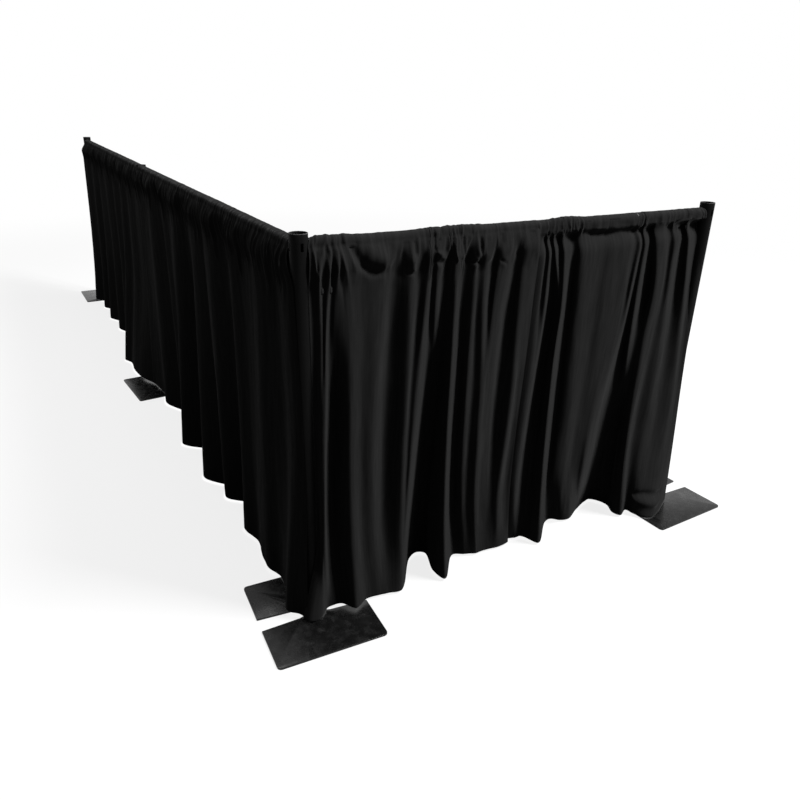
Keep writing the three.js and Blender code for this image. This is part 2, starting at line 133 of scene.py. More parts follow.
def background_ray(nodes, links):
    """1 for the rays that show the white background: the camera's, and those off or through a
    shiny surface."""
    path = nodes.new("ShaderNodeLightPath")
    direct = calc(nodes, links, "MAXIMUM", path.outputs["Is Camera Ray"], path.outputs["Is Glossy Ray"])
    return calc(nodes, links, "MAXIMUM", direct, path.outputs["Is Transmission Ray"])


def floor_material():
    material, nodes, links = new_material("floor_paper")
    seen = background_ray(nodes, links)
    tone = nodes.new("ShaderNodeMix")
    tone.data_type = "RGBA"
    tone.inputs["A"].default_value = (FLOOR_BOUNCE, FLOOR_BOUNCE, FLOOR_BOUNCE, 1)
    tone.inputs["B"].default_value = (FLOOR_WHITE, FLOOR_WHITE, FLOOR_WHITE, 1)
    links.new(seen, tone.inputs["Factor"])
    diffuse = nodes.new("ShaderNodeBsdfDiffuse")
    links.new(tone.outputs["Result"], diffuse.inputs["Color"])
    glow = nodes.new("ShaderNodeEmission")
    away = nodes.new("ShaderNodeVectorMath")
    away.operation = "LENGTH"
    links.new(nodes.new("ShaderNodeTexCoord").outputs["Object"], away.inputs[0])
    share = nodes.new("ShaderNodeMapRange")
    share.interpolation_type = "SMOOTHSTEP"
    share.inputs["From Min"].default_value = WHITE_FROM
    share.inputs["From Max"].default_value = WHITE_BEYOND
    share.inputs["To Min"].default_value = FLOOR_WHITENING
    links.new(away.outputs["Value"], share.inputs["Value"])
    mix = nodes.new("ShaderNodeMixShader")
    links.new(calc(nodes, links, "MULTIPLY", seen, share.outputs[0]), mix.inputs["Fac"])
    links.new(diffuse.outputs[0], mix.inputs[1])
    links.new(glow.outputs[0], mix.inputs[2])
    output = nodes.new("ShaderNodeOutputMaterial")
    links.new(mix.outputs[0], output.inputs["Surface"])
    return material


bm = bmesh.new()
bmesh.ops.create_grid(bm, x_segments=1, y_segments=1, size=FLOOR_REACH)
floor_mesh = bpy.data.meshes.new("floor")
bm.to_mesh(floor_mesh)
bm.free()
floor = bpy.data.objects.new("floor", floor_mesh)
bpy.context.collection.objects.link(floor)
floor_mesh.materials.append(floor_material())
floor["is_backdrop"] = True

world = bpy.data.worlds.new("white_surround")
bpy.context.scene.world = world
world.use_nodes = True
world_nodes, world_links = world.node_tree.nodes, world.node_tree.links
world_nodes.clear()
strength = world_nodes.new("ShaderNodeMapRange")
strength.inputs["To Min"].default_value = FILL_STRENGTH
strength.inputs["To Max"].default_value = 1
world_links.new(background_ray(world_nodes, world_links), strength.inputs["Value"])
surround = world_nodes.new("ShaderNodeBackground")
world_links.new(strength.outputs[0], surround.inputs["Strength"])
surround.inputs["Color"].default_value = (1, 1, 1, 1)
world_output = world_nodes.new("ShaderNodeOutputWorld")
world_links.new(surround.outputs[0], world_output.inputs["Surface"])


def soft_lamp(name, place, target, size, power):
    data = bpy.data.lights.new(name, "AREA")
    data.shape = "RECTANGLE"
    data.size, data.size_y = size
    data.energy = power
    lamp = bpy.data.objects.new(name, data)
    lamp.location = place
    lamp.rotation_mode = "QUATERNION"
    lamp.rotation_quaternion = (Vector(target) - Vector(place)).to_track_quat("-Z", "Y")
    bpy.context.collection.objects.link(lamp)


for lamp in LAMPS:
    soft_lamp(*lamp)

# Base plates
# Quarter inch flat bar, cut to 16 by 14 in with a tapered slot in each long side, its edges
# broken, and coated in black enamel that gets scuffed and dusty on the floor.
STANDS = ("corner", "right", "middle", "left")
PLATE_BEVEL = 0.0007
WELD = 0.00002
FLAT_WITHIN = math.radians(1)
RIM_ANGLE = math.radians(60)
SMOOTH_BELOW = math.radians(40)
PLATE_SHINE = 0.22
# where the noise starts each tone, and the tone, from clean enamel to dust
PLATE_TONES = ((0.32, 0.003), (0.5, 0.006), (0.62, 0.014), (0.72, 0.03), (0.8, 0.2))
PLATE_ROUGHNESS = (0.2, 0.34)
PEEL_DEPTH = 0.00008
# a noise hardly goes past these two values
NOISE_LOW, NOISE_HIGH = 0.3, 0.7


def add_object(name, bm, material, smooth_below=None):
    mesh = bpy.data.meshes.new(name)
    bm.to_mesh(mesh)
    bm.free()
    piece = bpy.data.objects.new(name, mesh)
    bpy.context.collection.objects.link(piece)
    mesh.materials.append(material)
    if smooth_below is not None:
        mesh.shade_smooth()
        mesh.set_sharp_from_angle(angle=smooth_below)
    return piece


def merged_copy(node):
    """The CAD node's solid with its triangles joined up and its flat faces made whole."""
    bm = bmesh.new()
    bm.from_mesh(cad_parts[node].data)
    bmesh.ops.remove_doubles(bm, verts=bm.verts, dist=WELD)
    bmesh.ops.dissolve_limit(bm, angle_limit=FLAT_WITHIN, verts=bm.verts, edges=bm.edges)
    return bm


def is_rim(edge):
    return edge.is_manifold and edge.calc_face_angle() > RIM_ANGLE


def break_edges(bm, edges, width):
    bmesh.ops.bevel(bm, geom=edges, offset=width, segments=2, profile=0.5,
                    affect="EDGES", clamp_overlap=True, material=-1)


def object_place(nodes):
    return nodes.new("ShaderNodeTexCoord").outputs["Object"]


def principled(nodes, links, **values):
    shader = nodes.new("ShaderNodeBsdfPrincipled")
    for name, value in values.items():
        shader.inputs[name.replace("_", " ")].default_value = value
    output = nodes.new("ShaderNodeOutputMaterial")
    links.new(shader.outputs[0], output.inputs["Surface"])
    return shader


def noise_node(nodes, links, vector, scale, detail=3, roughness=0.5):
    texture = nodes.new("ShaderNodeTexNoise")
    texture.inputs["Scale"].default_value = scale
    texture.inputs["Detail"].default_value = detail
    texture.inputs["Roughness"].default_value = roughness
    links.new(vector, texture.inputs["Vector"])
    return texture.outputs["Fac"]


def ramp_node(nodes, links, value, stops):
    ramp = nodes.new("ShaderNodeValToRGB")
    elements = ramp.color_ramp.elements
    elements[0].position, elements[0].color = stops[0][0], (*stops[0][1], 1)
    elements[1].position, elements[1].color = stops[-1][0], (*stops[-1][1], 1)
    for place, colour in stops[1:-1]:
        elements.new(place).color = (*colour, 1)
    links.new(value, ramp.inputs["Fac"])
    return ramp.outputs["Color"]


def bump_node(nodes, links, height, distance, strength=1.0):
    bump = nodes.new("ShaderNodeBump")
    bump.inputs["Distance"].default_value = distance
    bump.inputs["Strength"].default_value = strength
    links.new(height, bump.inputs["Height"])
    return bump.outputs["Normal"]


def grey_stops(nodes, links, value, stops):
    return ramp_node(nodes, links, value, [(place, (tone, tone, tone)) for place, tone in stops])


def grey_range(nodes, links, value, low, high):
    return grey_stops(nodes, links, value, ((NOISE_LOW, low), (NOISE_HIGH, high)))


def plate_material():
    material, nodes, links = new_material("plate_enamel")
    shader = principled(nodes, links, Metallic=0.0, Specular_IOR_Level=PLATE_SHINE)
    place = object_place(nodes)
    dust = noise_node(nodes, links, place, scale=34, detail=8, roughness=0.74)
    links.new(grey_stops(nodes, links, dust, PLATE_TONES), shader.inputs["Base Color"])
    worn = noise_node(nodes, links, place, scale=26, detail=4, roughness=0.6)
    links.new(grey_range(nodes, links, worn, *PLATE_ROUGHNESS), shader.inputs["Roughness"])
    peel = noise_node(nodes, links, place, scale=700, detail=2)
    links.new(bump_node(nodes, links, peel, PEEL_DEPTH), shader.inputs["Normal"])
    return material


PLATE_ENAMEL = plate_material()
for stand in STANDS:
    node = f"{stand}_base_plate"
    bm = merged_copy(node)
    break_edges(bm, [edge for edge in bm.edges if is_rim(edge)], PLATE_BEVEL)
    plate = add_object(f"{stand}_plate", bm, PLATE_ENAMEL, SMOOTH_BELOW)
    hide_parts(node)
    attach(plate, f"{stand}_base")

# Base pins and their fasteners
# Each plate carries a turned aluminium pin, clamped by one bolt with its washer and nut. The
# fasteners are zinc plated, and the pin stands hidden in the upright's foot.
GRAIN_SHADE = 0.82
POLISHED, DULLED = 0.8, 1.25
GRAIN_DEPTH = 0.00004


def stretched(nodes, links, vector, scale):
    mapping = nodes.new("ShaderNodeMapping")
    mapping.inputs["Scale"].default_value = scale
    links.new(vector, mapping.inputs["Vector"])
    return mapping.outputs[0]


def metal_material(name, colour, roughness, streak):
    """Bare metal whose grain has streak waves a metre on each axis."""
    material, nodes, links = new_material(name)
    shader = principled(nodes, links, Metallic=1.0)
    grain = noise_node(nodes, links, stretched(nodes, links, object_place(nodes), streak), scale=1, detail=4)
    shaded = tuple(c * GRAIN_SHADE for c in colour)
    tones = ramp_node(nodes, links, grain, ((NOISE_LOW, shaded), (NOISE_HIGH, colour)))
    links.new(tones, shader.inputs["Base Color"])
    dullness = grey_range(nodes, links, grain, roughness * POLISHED, roughness * DULLED)
    links.new(dullness, shader.inputs["Roughness"])
    links.new(bump_node(nodes, links, grain, GRAIN_DEPTH), shader.inputs["Normal"])
    return material


ZINC = metal_material("zinc_plate", (0.55, 0.56, 0.57), roughness=0.32, streak=(300, 300, 300))
PIN_ALUMINIUM = metal_material("turned_aluminium", (0.62, 0.63, 0.64), roughness=0.3, streak=(60, 60, 1500))


def dress(node, material):
    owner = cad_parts[node]
    owner.data.materials.clear()
    owner.data.materials.append(material)


for stand in STANDS:
    dress(f"{stand}_base_pin", PIN_ALUMINIUM)
    for fastener in ("pin_bolt", "lock_washer", "pin_nut"):
        dress(f"{stand}_{fastener}", ZINC)

# Uprights
# Drawn tube of 2 in diameter with four hook slots punched near its open top, in satin black
# enamel that is scored along its length. Its rim is painted pale: partly enamel rubbed bare, partly a
# painted highlight. Each drops over its base pin.
UPRIGHT_WALL = 0.00165
HOOK_SLOTS = 4
HOOK_SLOT_WIDTH = 0.008
HOOK_SLOT_HEIGHT = 0.0222
SLOT_BELOW_TOP = 0.0237
SLOT_STEPS = 4
WALL_STEPS = 14
RIM_BEVEL = 0.0004
ON_RIM = 0.0001
SLOT_FOOT = CORNER_BOX[1].z - SLOT_BELOW_TOP - HOOK_SLOT_HEIGHT
SLOT_TOP = SLOT_FOOT + HOOK_SLOT_HEIGHT
TUBE_SHINE = 0.03
# where the wear and the rim's painted highlight start each tone, and the tone, from whole enamel to the pale
# rim, which is bare metal and painted highlight
TUBE_TONES = ((0.35, 0.0045), (0.66, 0.007), (0.76, 0.014), (0.95, 0.09))
TUBE_ROUGHNESS = (0.5, 0.66)
SCORE_STRETCH = (90, 90, 7)
SCORE_DEPTH = 0.00006
# the top few millimetres are painted paler all round: rubbed-bare enamel and a painted highlight on the rim
RIM_PALE_FROM, RIM_PALE_TOP = 0.003, 0.001
RIM_WEAR_AND_HIGHLIGHT = 0.5


def enamel_material():
    material, nodes, links = new_material("tube_enamel")
    shader = principled(nodes, links, Metallic=0.0, Specular_IOR_Level=TUBE_SHINE)
    place = object_place(nodes)
    lengthwise = stretched(nodes, links, place, SCORE_STRETCH)
    scores = noise_node(nodes, links, lengthwise, scale=1, detail=5, roughness=0.65)
    parts = nodes.new("ShaderNodeSeparateXYZ")
    links.new(place, parts.inputs[0])
    # painted highlight and rubbed wear: the colour grows paler towards the rim
    rim_wear_and_highlight = nodes.new("ShaderNodeMapRange")
    rim_wear_and_highlight.inputs["From Min"].default_value = CORNER_BOX[1].z - RIM_PALE_FROM
    rim_wear_and_highlight.inputs["From Max"].default_value = CORNER_BOX[1].z - RIM_PALE_TOP
    rim_wear_and_highlight.inputs["To Max"].default_value = RIM_WEAR_AND_HIGHLIGHT
    links.new(parts.outputs["Z"], rim_wear_and_highlight.inputs["Value"])
    wear_and_rim_highlight = calc(nodes, links, "ADD", scores, rim_wear_and_highlight.outputs[0])
    links.new(grey_stops(nodes, links, wear_and_rim_highlight, TUBE_TONES), shader.inputs["Base Color"])
    links.new(grey_range(nodes, links, scores, *TUBE_ROUGHNESS), shader.inputs["Roughness"])
    links.new(bump_node(nodes, links, scores, SCORE_DEPTH), shader.inputs["Normal"])
    return material


TUBE_ENAMEL = enamel_material()


def spin_about(bm, geometry, centre, angle, steps, axis=(0, 0, 1), merge=False):
    turned = bmesh.ops.spin(bm, geom=geometry, cent=centre, axis=axis, angle=angle, steps=steps,
                            use_merge=merge)
    return turned["geom_last"]


def upright_body(centre, radius, foot, top):
    """A tube's wall with its hook slots, one on each side that a crossbar can come from."""
    bm = bmesh.new()
    half = math.asin(HOOK_SLOT_WIDTH / 2 / radius)
    pitch = 2 * math.pi / HOOK_SLOTS
    start = Vector((radius * math.cos(half), -radius * math.sin(half), 0)) + centre
    line = [bm.verts.new((start.x, start.y, z)) for z in (foot, SLOT_FOOT, SLOT_TOP, top)]
    edges = [bm.edges.new(pair) for pair in zip(line, line[1:])]
    last = [*line, *edges]
    for _ in range(HOOK_SLOTS):
        last = spin_about(bm, last, centre, 2 * half, SLOT_STEPS)
        last = spin_about(bm, last, centre, pitch - 2 * half, WALL_STEPS)
    bmesh.ops.remove_doubles(bm, verts=bm.verts, dist=WELD)
    holes = []
    for face in bm.faces:
        middle = face.calc_center_median()
        turn = math.atan2(middle.y - centre.y, middle.x - centre.x)
        off_axis = abs((turn + pitch / 2) % pitch - pitch / 2)
        if SLOT_FOOT < middle.z < SLOT_TOP and off_axis < half:
            holes.append(face)
    bmesh.ops.delete(bm, geom=holes, context="FACES")
    bmesh.ops.recalc_face_normals(bm, faces=bm.faces)
    bmesh.ops.solidify(bm, geom=bm.faces, thickness=UPRIGHT_WALL)
    bmesh.ops.recalc_face_normals(bm, faces=bm.faces)
    at_top = [edge for edge in bm.edges if all(abs(v.co.z - top) < ON_RIM for v in edge.verts)]
    break_edges(bm, [edge for edge in at_top if is_rim(edge)], RIM_BEVEL)
    return bm


def axis_of(stand):
    low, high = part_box(f"{stand}_upright")
    return (low.x + high.x) / 2, (low.y + high.y) / 2


for stand in STANDS:
    low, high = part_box(f"{stand}_upright")
    tube = upright_body(Vector((*axis_of(stand), 0)), (high.x - low.x) / 2, low.z, high.z)
    post = add_object(f"{stand}_post_tube", tube, TUBE_ENAMEL, SMOOTH_BELOW)
    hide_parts(f"{stand}_upright")
    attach(post, f"{stand}_post")

# Crossbars
# A bare aluminium tube slides in a black enamelled one. Each end has a plated hook, riveted
# in, whose tongue drops into an upright's slot. Nylon bushes guide the slide.
BARS = {"right": ("corner", "right"), "near": ("corner", "middle"), "far": ("middle", "left")}
BAR_WALL = 0.00165
TUBE_SIDES = 64
NYLON_SHINE = 0.4
NYLON_TONES = (0.02, 0.032)
NYLON_ROUGHNESS = (0.5, 0.66)
NYLON_GRAIN_DEPTH = 0.00005
BAR_ALUMINIUM = metal_material("drawn_aluminium", (0.6, 0.61, 0.62), roughness=0.34, streak=(500, 14, 500))


def nylon_material():
    material, nodes, links = new_material("black_nylon")
    shader = principled(nodes, links, Specular_IOR_Level=NYLON_SHINE)
    grain = noise_node(nodes, links, object_place(nodes), scale=700, detail=3)
    links.new(grey_range(nodes, links, grain, *NYLON_TONES), shader.inputs["Base Color"])
    links.new(grey_range(nodes, links, grain, *NYLON_ROUGHNESS), shader.inputs["Roughness"])
    links.new(bump_node(nodes, links, grain, NYLON_GRAIN_DEPTH), shader.inputs["Normal"])
    return material


NYLON = nylon_material()


def tube_between(node):
    """A round tube that fills the CAD node's box, along its longest side."""
    low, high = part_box(node)
    size = high - low
    along = max(range(3), key=lambda k: size[k])
    across = [k for k in range(3) if k != along]
    radius = size[across[0]] / 2
    centre = (low + high) / 2
    axis = Vector([1.0 if k == along else 0.0 for k in range(3)])
    side = Vector([1.0 if k == across[0] else 0.0 for k in range(3)])
    bm = bmesh.new()
    foot = centre - axis * size[along] / 2
    top = centre + axis * size[along] / 2
    inner = radius - BAR_WALL
    corners = [foot + side * inner, foot + side * radius, top + side * radius, top + side * inner]
    ring = [bm.verts.new(p) for p in corners]
    edges = [bm.edges.new(pair) for pair in zip(ring, [*ring[1:], ring[0]])]
    spin_about(bm, [*ring, *edges], centre, 2 * math.pi, TUBE_SIDES, axis=axis, merge=True)
    bmesh.ops.remove_doubles(bm, verts=bm.verts, dist=WELD)
    bmesh.ops.recalc_face_normals(bm, faces=bm.faces)
    return bm


for bar, (fixed, sliding) in BARS.items():
    for part, post, material, slot in (
        ("outer", fixed, TUBE_ENAMEL, "tube_enamel"),
        ("inner", sliding, BAR_ALUMINIUM, "bar_aluminium"),
    ):
        node = f"{bar}_bar_{part}_tube"
        tube = add_object(f"{bar}_bar_{part}", tube_between(node), material, SMOOTH_BELOW)
        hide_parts(node)
        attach(tube, f"{post}_post")
        dress(f"{bar}_bar_{part}_hook", ZINC)
        dress(f"{bar}_bar_{part}_rivet", ZINC)
    dress(f"{bar}_bar_mouth_bush", NYLON)
    dress(f"{bar}_bar_guide_plug", NYLON)

# Drapes
# Black woven polyester with a low sheen, sewn with a rod pocket along the top and a turned
# hem along the foot. Each panel is threaded on its crossbar, gathered there, and falls in folds.
INCH = 0.0254
BAR_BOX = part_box("right_bar_outer_tube")
BAR_HEIGHT = (BAR_BOX[0].z + BAR_BOX[1].z) / 2
NEVER_ZERO = 1e-6

# The cloth's colour, weave and slubs
CLOTH_TONES = (0.0135, 0.0195)
CLOTH_ROUGHNESS = (0.46, 0.58)
WARP_SCALE, WEFT_SCALE = 300, 345
WEAVE_DEPTH = 0.00012
WEAVE_STRENGTH = 0.7
SLUB_STRETCH = (160, 9, 1)

# The panels: loose ones with a deep pocket, and the short wing's second with a tight one, whose
# seam is tucked under the bar. Each second panel is threaded inside the first.
LOOSE_SEAM = 0.110
TIGHT_SEAM = 0.038
TIGHT_TUCK = 0.018
TUCK_RETURN = 0.03
POCKET_RADIUS = 0.0207
POCKET_DROP = 0.0006
UNDERLAP = 0.0008
POST_CLEAR = 0.0272
DRAWN_REACH = 0.12

# The pocket's back: a seam allowance, then a slack rise that turns over the bar
SEAM_ALLOWANCE = 0.012
LAYER_GAP = 0.0009
BACK_BULGE = 0.006
BACK_TURN_POWER = 0.7

# The pocket's front: it swells out to the folds, and sags between the bar and the seam
LOOSE_SWELL_BY = 0.6
TIGHT_SWELL_FROM = 0.4
POCKET_SAG = 0.007
SAG_HIGH_POWER = 0.6
SAG_NARROW_POWER = 1.5

# The hem: how high it hangs, how far its turned-up layer stands off, and how unevenly it ends
HEM_HEIGHT = 0.0105
HEM_TURN = 0.0008
HEM_UNEVEN = 0.0022
HEM_LEVEL = 0.3
HEM_REACH = 0.06

# What stands out from the folds: slack that grows down from the seam, small wrinkles all over,
# puckers at the seam and in the pocket. It fades at the side edges, and hardly sinks at the bar.
SLACK = 0.0032
SLACK_BY = 0.3
WRINKLE = 0.0009
PUCKER = 0.0036
PUCKER_FOOT = 0.03
PUCKER_FADE = 0.05
EDGE_REACH = 0.016
ON_BAR_REACH = 0.004
ON_BAR_SINK = 0.0006

# The mesh
DRAPE_COLUMNS = 410
DRAPE_ROWS = 158
OVER_STEPS = 14
RISE_STEPS = 7
BACK_ROWS = 1 + RISE_STEPS
FALL_ROW = 0.0045
LEAST_FALL_ROWS = 12
HEM_ROWS = 4
KNOT_STEPS = 24


def cloth_material():
    material, nodes, links = new_material("drape_cloth")
    shader = principled(nodes, links, Specular_IOR_Level=0.0, Sheen_Weight=0.05, Sheen_Roughness=0.4)
    uv = nodes.new("ShaderNodeUVMap")
    uv.uv_map = "cloth"
    threads = []
    for direction, scale in (("X", WARP_SCALE), ("Y", WEFT_SCALE)):
        wave = nodes.new("ShaderNodeTexWave")
        wave.bands_direction = direction
        wave.inputs["Scale"].default_value = scale
        wave.inputs["Distortion"].default_value = 0.6
        wave.inputs["Detail"].default_value = 1
        links.new(uv.outputs[0], wave.inputs["Vector"])
        threads.append(wave.outputs["Fac"])
    weave = calc(nodes, links, "MULTIPLY", *threads)
    slubs = noise_node(nodes, links, stretched(nodes, links, uv.outputs[0], SLUB_STRETCH), scale=1, detail=3)
    links.new(grey_range(nodes, links, slubs, *CLOTH_TONES), shader.inputs["Base Color"])
    links.new(grey_range(nodes, links, slubs, *CLOTH_ROUGHNESS), shader.inputs["Roughness"])
    links.new(bump_node(nodes, links, weave, WEAVE_DEPTH, WEAVE_STRENGTH), shader.inputs["Normal"])
    return material


DRAPE_CLOTH = cloth_material()

# The right bay's crests and valleys from left to right, in inches: where each is seen along
# the bay at the six levels, and how far it stands out from the bar's plane there. Above the
# hem that is the place of its lit flank, which lies a little to the right of the crest.
RIGHT_LEVELS = (43, 38, 30, 20, 10, 0.4)
LIT_LEAD = (0.35, 0.45, 0.6, 0.75, 0.65, 0)
CREASE_LEAD = 0.2
RIGHT_FIRST = [
    ((0.55, 0.55, 0.55, 0.50, 0.31, -1.75), (0.98, 0.96, 0.95, 0.98, 1.06, 1.5)),
    ((1.00, 0.90, 0.9, 0.9, 0.8, -0.8), (0.9, 0.9, 1.05, 1.15, 1.4, 2.25)),
    ((1.30, 1.30, 1.2, 1.15, 1.0, 0.0), (1.1, 1.1, 1.35, 1.5, 1.7, 2.4)),
    ((1.80, 2.15, 1.9, 1.6, 1.4, 0.8), (1.35, 1.5, 1.8, 2.0, 2.1, 2.2)),
    ((2.40, 2.45, 2.3, 2.0, 1.65, 1.25), (1.0, 1.25, 1.95, 2.15, 2.2, 1.5)),
    ((3.10, 2.80, 2.7, 2.4, 2.0, 1.65), (1.35, 1.6, 2.0, 2.2, 2.2, 0.85)),
    ((3.50, 3.25, 3.1, 2.8, 2.5, 2.5), (1.05, 0.8, 0.4, 0.3, 0.6, 0.7)),
    ((4.00, 3.80, 3.6, 3.4, 3.2, 3.6), (1.35, 1.1, 0.0, -0.2, 0.1, 0.9)),
    ((5.20, 5.60, 5.7, 5.8, 5.9, 5.7), (1.4, 1.6, 1.75, 2.0, 2.4, 2.6)),
    ((7.20, 7.20, 7.2, 7.2, 7.3, 7.3), (1.2, 1.3, 1.35, 1.4, 1.5, 1.6)),
    ((9.60, 9.40, 8.9, 8.7, 8.9, 9.2), (1.3, 1.45, 1.6, 1.65, 1.7, 1.75)),
    ((11.1, 10.9, 10.6, 10.5, 10.4, 10.5), (0.6, 0.3, 0.4, 0.4, 0.8, 1.95)),
    ((13.1, 13.2, 13.2, 13.0, 12.8, 12.3), (1.3, 1.6, 1.85, 1.9, 2.0, 2.3)),
    ((14.3, 14.2, 13.8, 13.6, 13.3, 12.7), (0.8, 0.9, 1.3, 1.6, 1.8, 2.1)),
    ((15.4, 15.1, 14.6, 14.1, 13.6, 13.05), (1.35, 1.5, 1.6, 1.8, 1.6, 1.1)),
    ((15.9, 15.9, 16.0, 15.6, 15.0, 13.6), (1.0, 0.6, -0.6, -1.6, -2.6, -3.4)),
    ((16.6, 16.5, 16.7, 16.4, 15.8, 14.7), (1.35, 1.0, -0.7, -1.7, -2.8, -4.1)),
    ((17.6, 17.5, 17.4, 17.2, 16.6, 16.0), (0.6, 0.3, -0.5, -1.3, -2.2, -3.4)),
    ((18.3, 18.3, 18.3, 18.2, 17.9, 17.45), (1.0, 0.9, 0.6, 0.6, 0.5, 0.6)),
    ((19.1, 19.2, 19.2, 19.3, 19.4, 19.5), (1.4, 1.6, 1.8, 2.0, 2.3, 2.9)),
    ((20.3, 20.2, 20.4, 20.5, 20.5, 20.6), (0.7, 0.5, 0.5, 0.1, -0.5, -1.2)),
    ((21.7, 21.8, 21.8, 21.9, 22.2, 22.4), (1.35, 1.5, 1.6, 1.3, 0.6, -0.6)),
    ((22.3, 22.4, 22.8, 23.0, 23.1, 23.4), (1.1, 1.2, 1.25, 1.1, 0.6, -0.3)),
    ((23.2, 23.3, 23.8, 24.1, 24.3, 24.6), (1.35, 1.6, 1.75, 1.7, 1.2, 0.1)),
    ((24.3, 24.2, 24.3, 24.5, 24.7, 24.9), (0.7, 0.95, 1.7, 1.65, 1.15, 0.1)),
    ((25.1, 24.8, 24.8, 25.0, 25.2, 25.6), (1.3, 1.45, 1.55, 1.3, 0.9, 0.05)),
    ((26.5, 25.9, 25.8, 26.0, 26.4, 26.8), (1.35, 1.4, 1.3, 0.9, 0.85, 0.1)),
    ((27.7, 27.4, 27.0, 27.0, 27.2, 27.6), (0.65, 0.5, 0.5, 0.5, 0.9, 0.2)),
    ((28.7, 28.7, 29.0, 28.9, 28.3, 28.4), (1.2, 1.5, 1.7, 1.7, 1.4, 0.3)),
    ((30.0, 29.8, 29.9, 29.8, 29.4, 29.4), (1.35, 1.5, 1.3, 1.0, 0.7, 0.25)),
    ((31.15, 31.0, 30.9, 30.6, 30.4, 30.3), (1.2, 1.2, 1.2, 1.1, 0.8, 0.0)),
]
RIGHT_SECOND = [
    ((29.8, 29.6, 29.4, 29.2, 29.0, 28.8), (0.65, 0.5, 0.4, 0.2, 0.0, -1.0)),
    ((31.8, 31.8, 31.8, 31.5, 31.2, 31.2), (1.3, 1.35, 1.4, 1.3, 0.9, -0.5)),
    ((32.3, 32.3, 32.4, 32.0, 31.6, 31.5), (1.0, 1.15, 1.3, 1.2, 0.7, -0.4)),
    ((32.8, 32.9, 32.9, 32.4, 32.0, 31.9), (1.35, 1.5, 0.9, 0.6, 0.1, -0.4)),
    ((33.3, 33.7, 33.6, 33.4, 32.9, 32.4), (0.9, 0.1, -0.3, -0.5, -0.7, -0.4)),
    ((33.8, 34.9, 34.3, 34.2, 33.8, 33.4), (1.35, 1.0, 0.0, -0.2, -0.4, 0.2)),
    ((34.4, 35.3, 34.9, 34.8, 34.6, 34.5), (0.7, 1.3, 0.9, 0.5, 0.3, 1.1)),
    ((35.2, 35.7, 35.6, 35.8, 36.1, 36.3), (1.35, 1.6, 1.8, 1.8, 1.8, 2.3)),
    ((36.7, 36.9, 37.1, 37.3, 37.2, 37.1), (0.5, 0.2, 0.2, 0.0, -0.3, -1.6)),
    ((37.9, 37.9, 38.1, 38.3, 38.1, 38.0), (1.2, 1.0, 1.0, 0.8, 0.2, -1.9)),
    ((38.7, 38.7, 39.2, 39.8, 40.0, 40.1), (1.35, 1.35, 1.4, 1.3, 0.7, -0.9)),
    ((41.8, 41.9, 42.0, 41.8, 41.6, 41.8), (1.1, 1.15, 1.15, 0.9, 0.5, -0.6)),
    ((43.5, 43.2, 43.4, 43.4, 43.0, 42.9), (1.3, 1.4, 1.4, 1.1, 0.5, -1.9)),
    ((45.0, 45.1, 45.0, 44.4, 43.9, 43.4), (1.3, 1.4, 1.4, 1.25, 0.7, -2.3)),
    ((46.6, 46.7, 46.4, 45.4, 44.8, 44.1), (1.3, 1.35, 1.3, 1.0, 0.2, -2.9)),
    ((47.6, 47.4, 47.0, 45.9, 45.3, 44.8), (1.05, 1.2, 1.2, 0.6, -0.6, -3.3)),
    ((48.4, 48.0, 47.6, 46.4, 45.8, 45.5), (1.35, 1.5, 0.9, -0.2, -1.4, -3.5)),
    ((48.85, 48.7, 48.5, 48.2, 47.9, 47.3), (1.0, 1.0, 0.2, -1.0, -2.2, -2.6)),
    ((49.4, 49.3, 49.4, 49.8, 50.0, 49.6), (1.3, 1.4, 1.2, -0.3, -1.2, -0.9)),
    ((50.4, 51.0, 50.9, 50.9, 51.0, 51.2), (0.5, 0.1, 0.9, 0.5, 0.4, 1.2)),
    ((51.5, 52.5, 52.5, 52.4, 52.5, 52.9), (1.3, 1.6, 1.7, 1.6, 1.7, 2.3)),
    ((53.2, 54.0, 53.6, 53.0, 53.0, 53.5), (1.35, 1.5, 1.5, 1.7, 1.85, 2.5)),
    ((54.2, 54.6, 54.4, 54.0, 54.0, 54.3), (1.0, 1.2, 1.2, 1.1, 1.2, 1.7)),
    ((55.2, 55.4, 56.0, 56.3, 56.0, 56.2), (1.4, 1.5, 1.5, 1.6, 1.8, 3.0)),
    ((56.8, 57.2, 57.7, 58.2, 58.5, 58.8), (0.6, 0.6, 0.9, 1.2, 1.9, 4.5)),
    ((57.8, 58.7, 59.6, 60.4, 60.7, 60.9), (1.35, 1.5, 1.55, 1.7, 2.3, 5.2)),
    ((59.0, 59.6, 60.3, 61.1, 61.8, 62.4), (0.3, 0.4, 0.9, 1.3, 1.9, 4.6)),
    ((60.0, 60.6, 61.4, 62.1, 62.9, 63.6), (0.2, 0.4, 1.1, 1.3, 1.5, 2.4)),
]

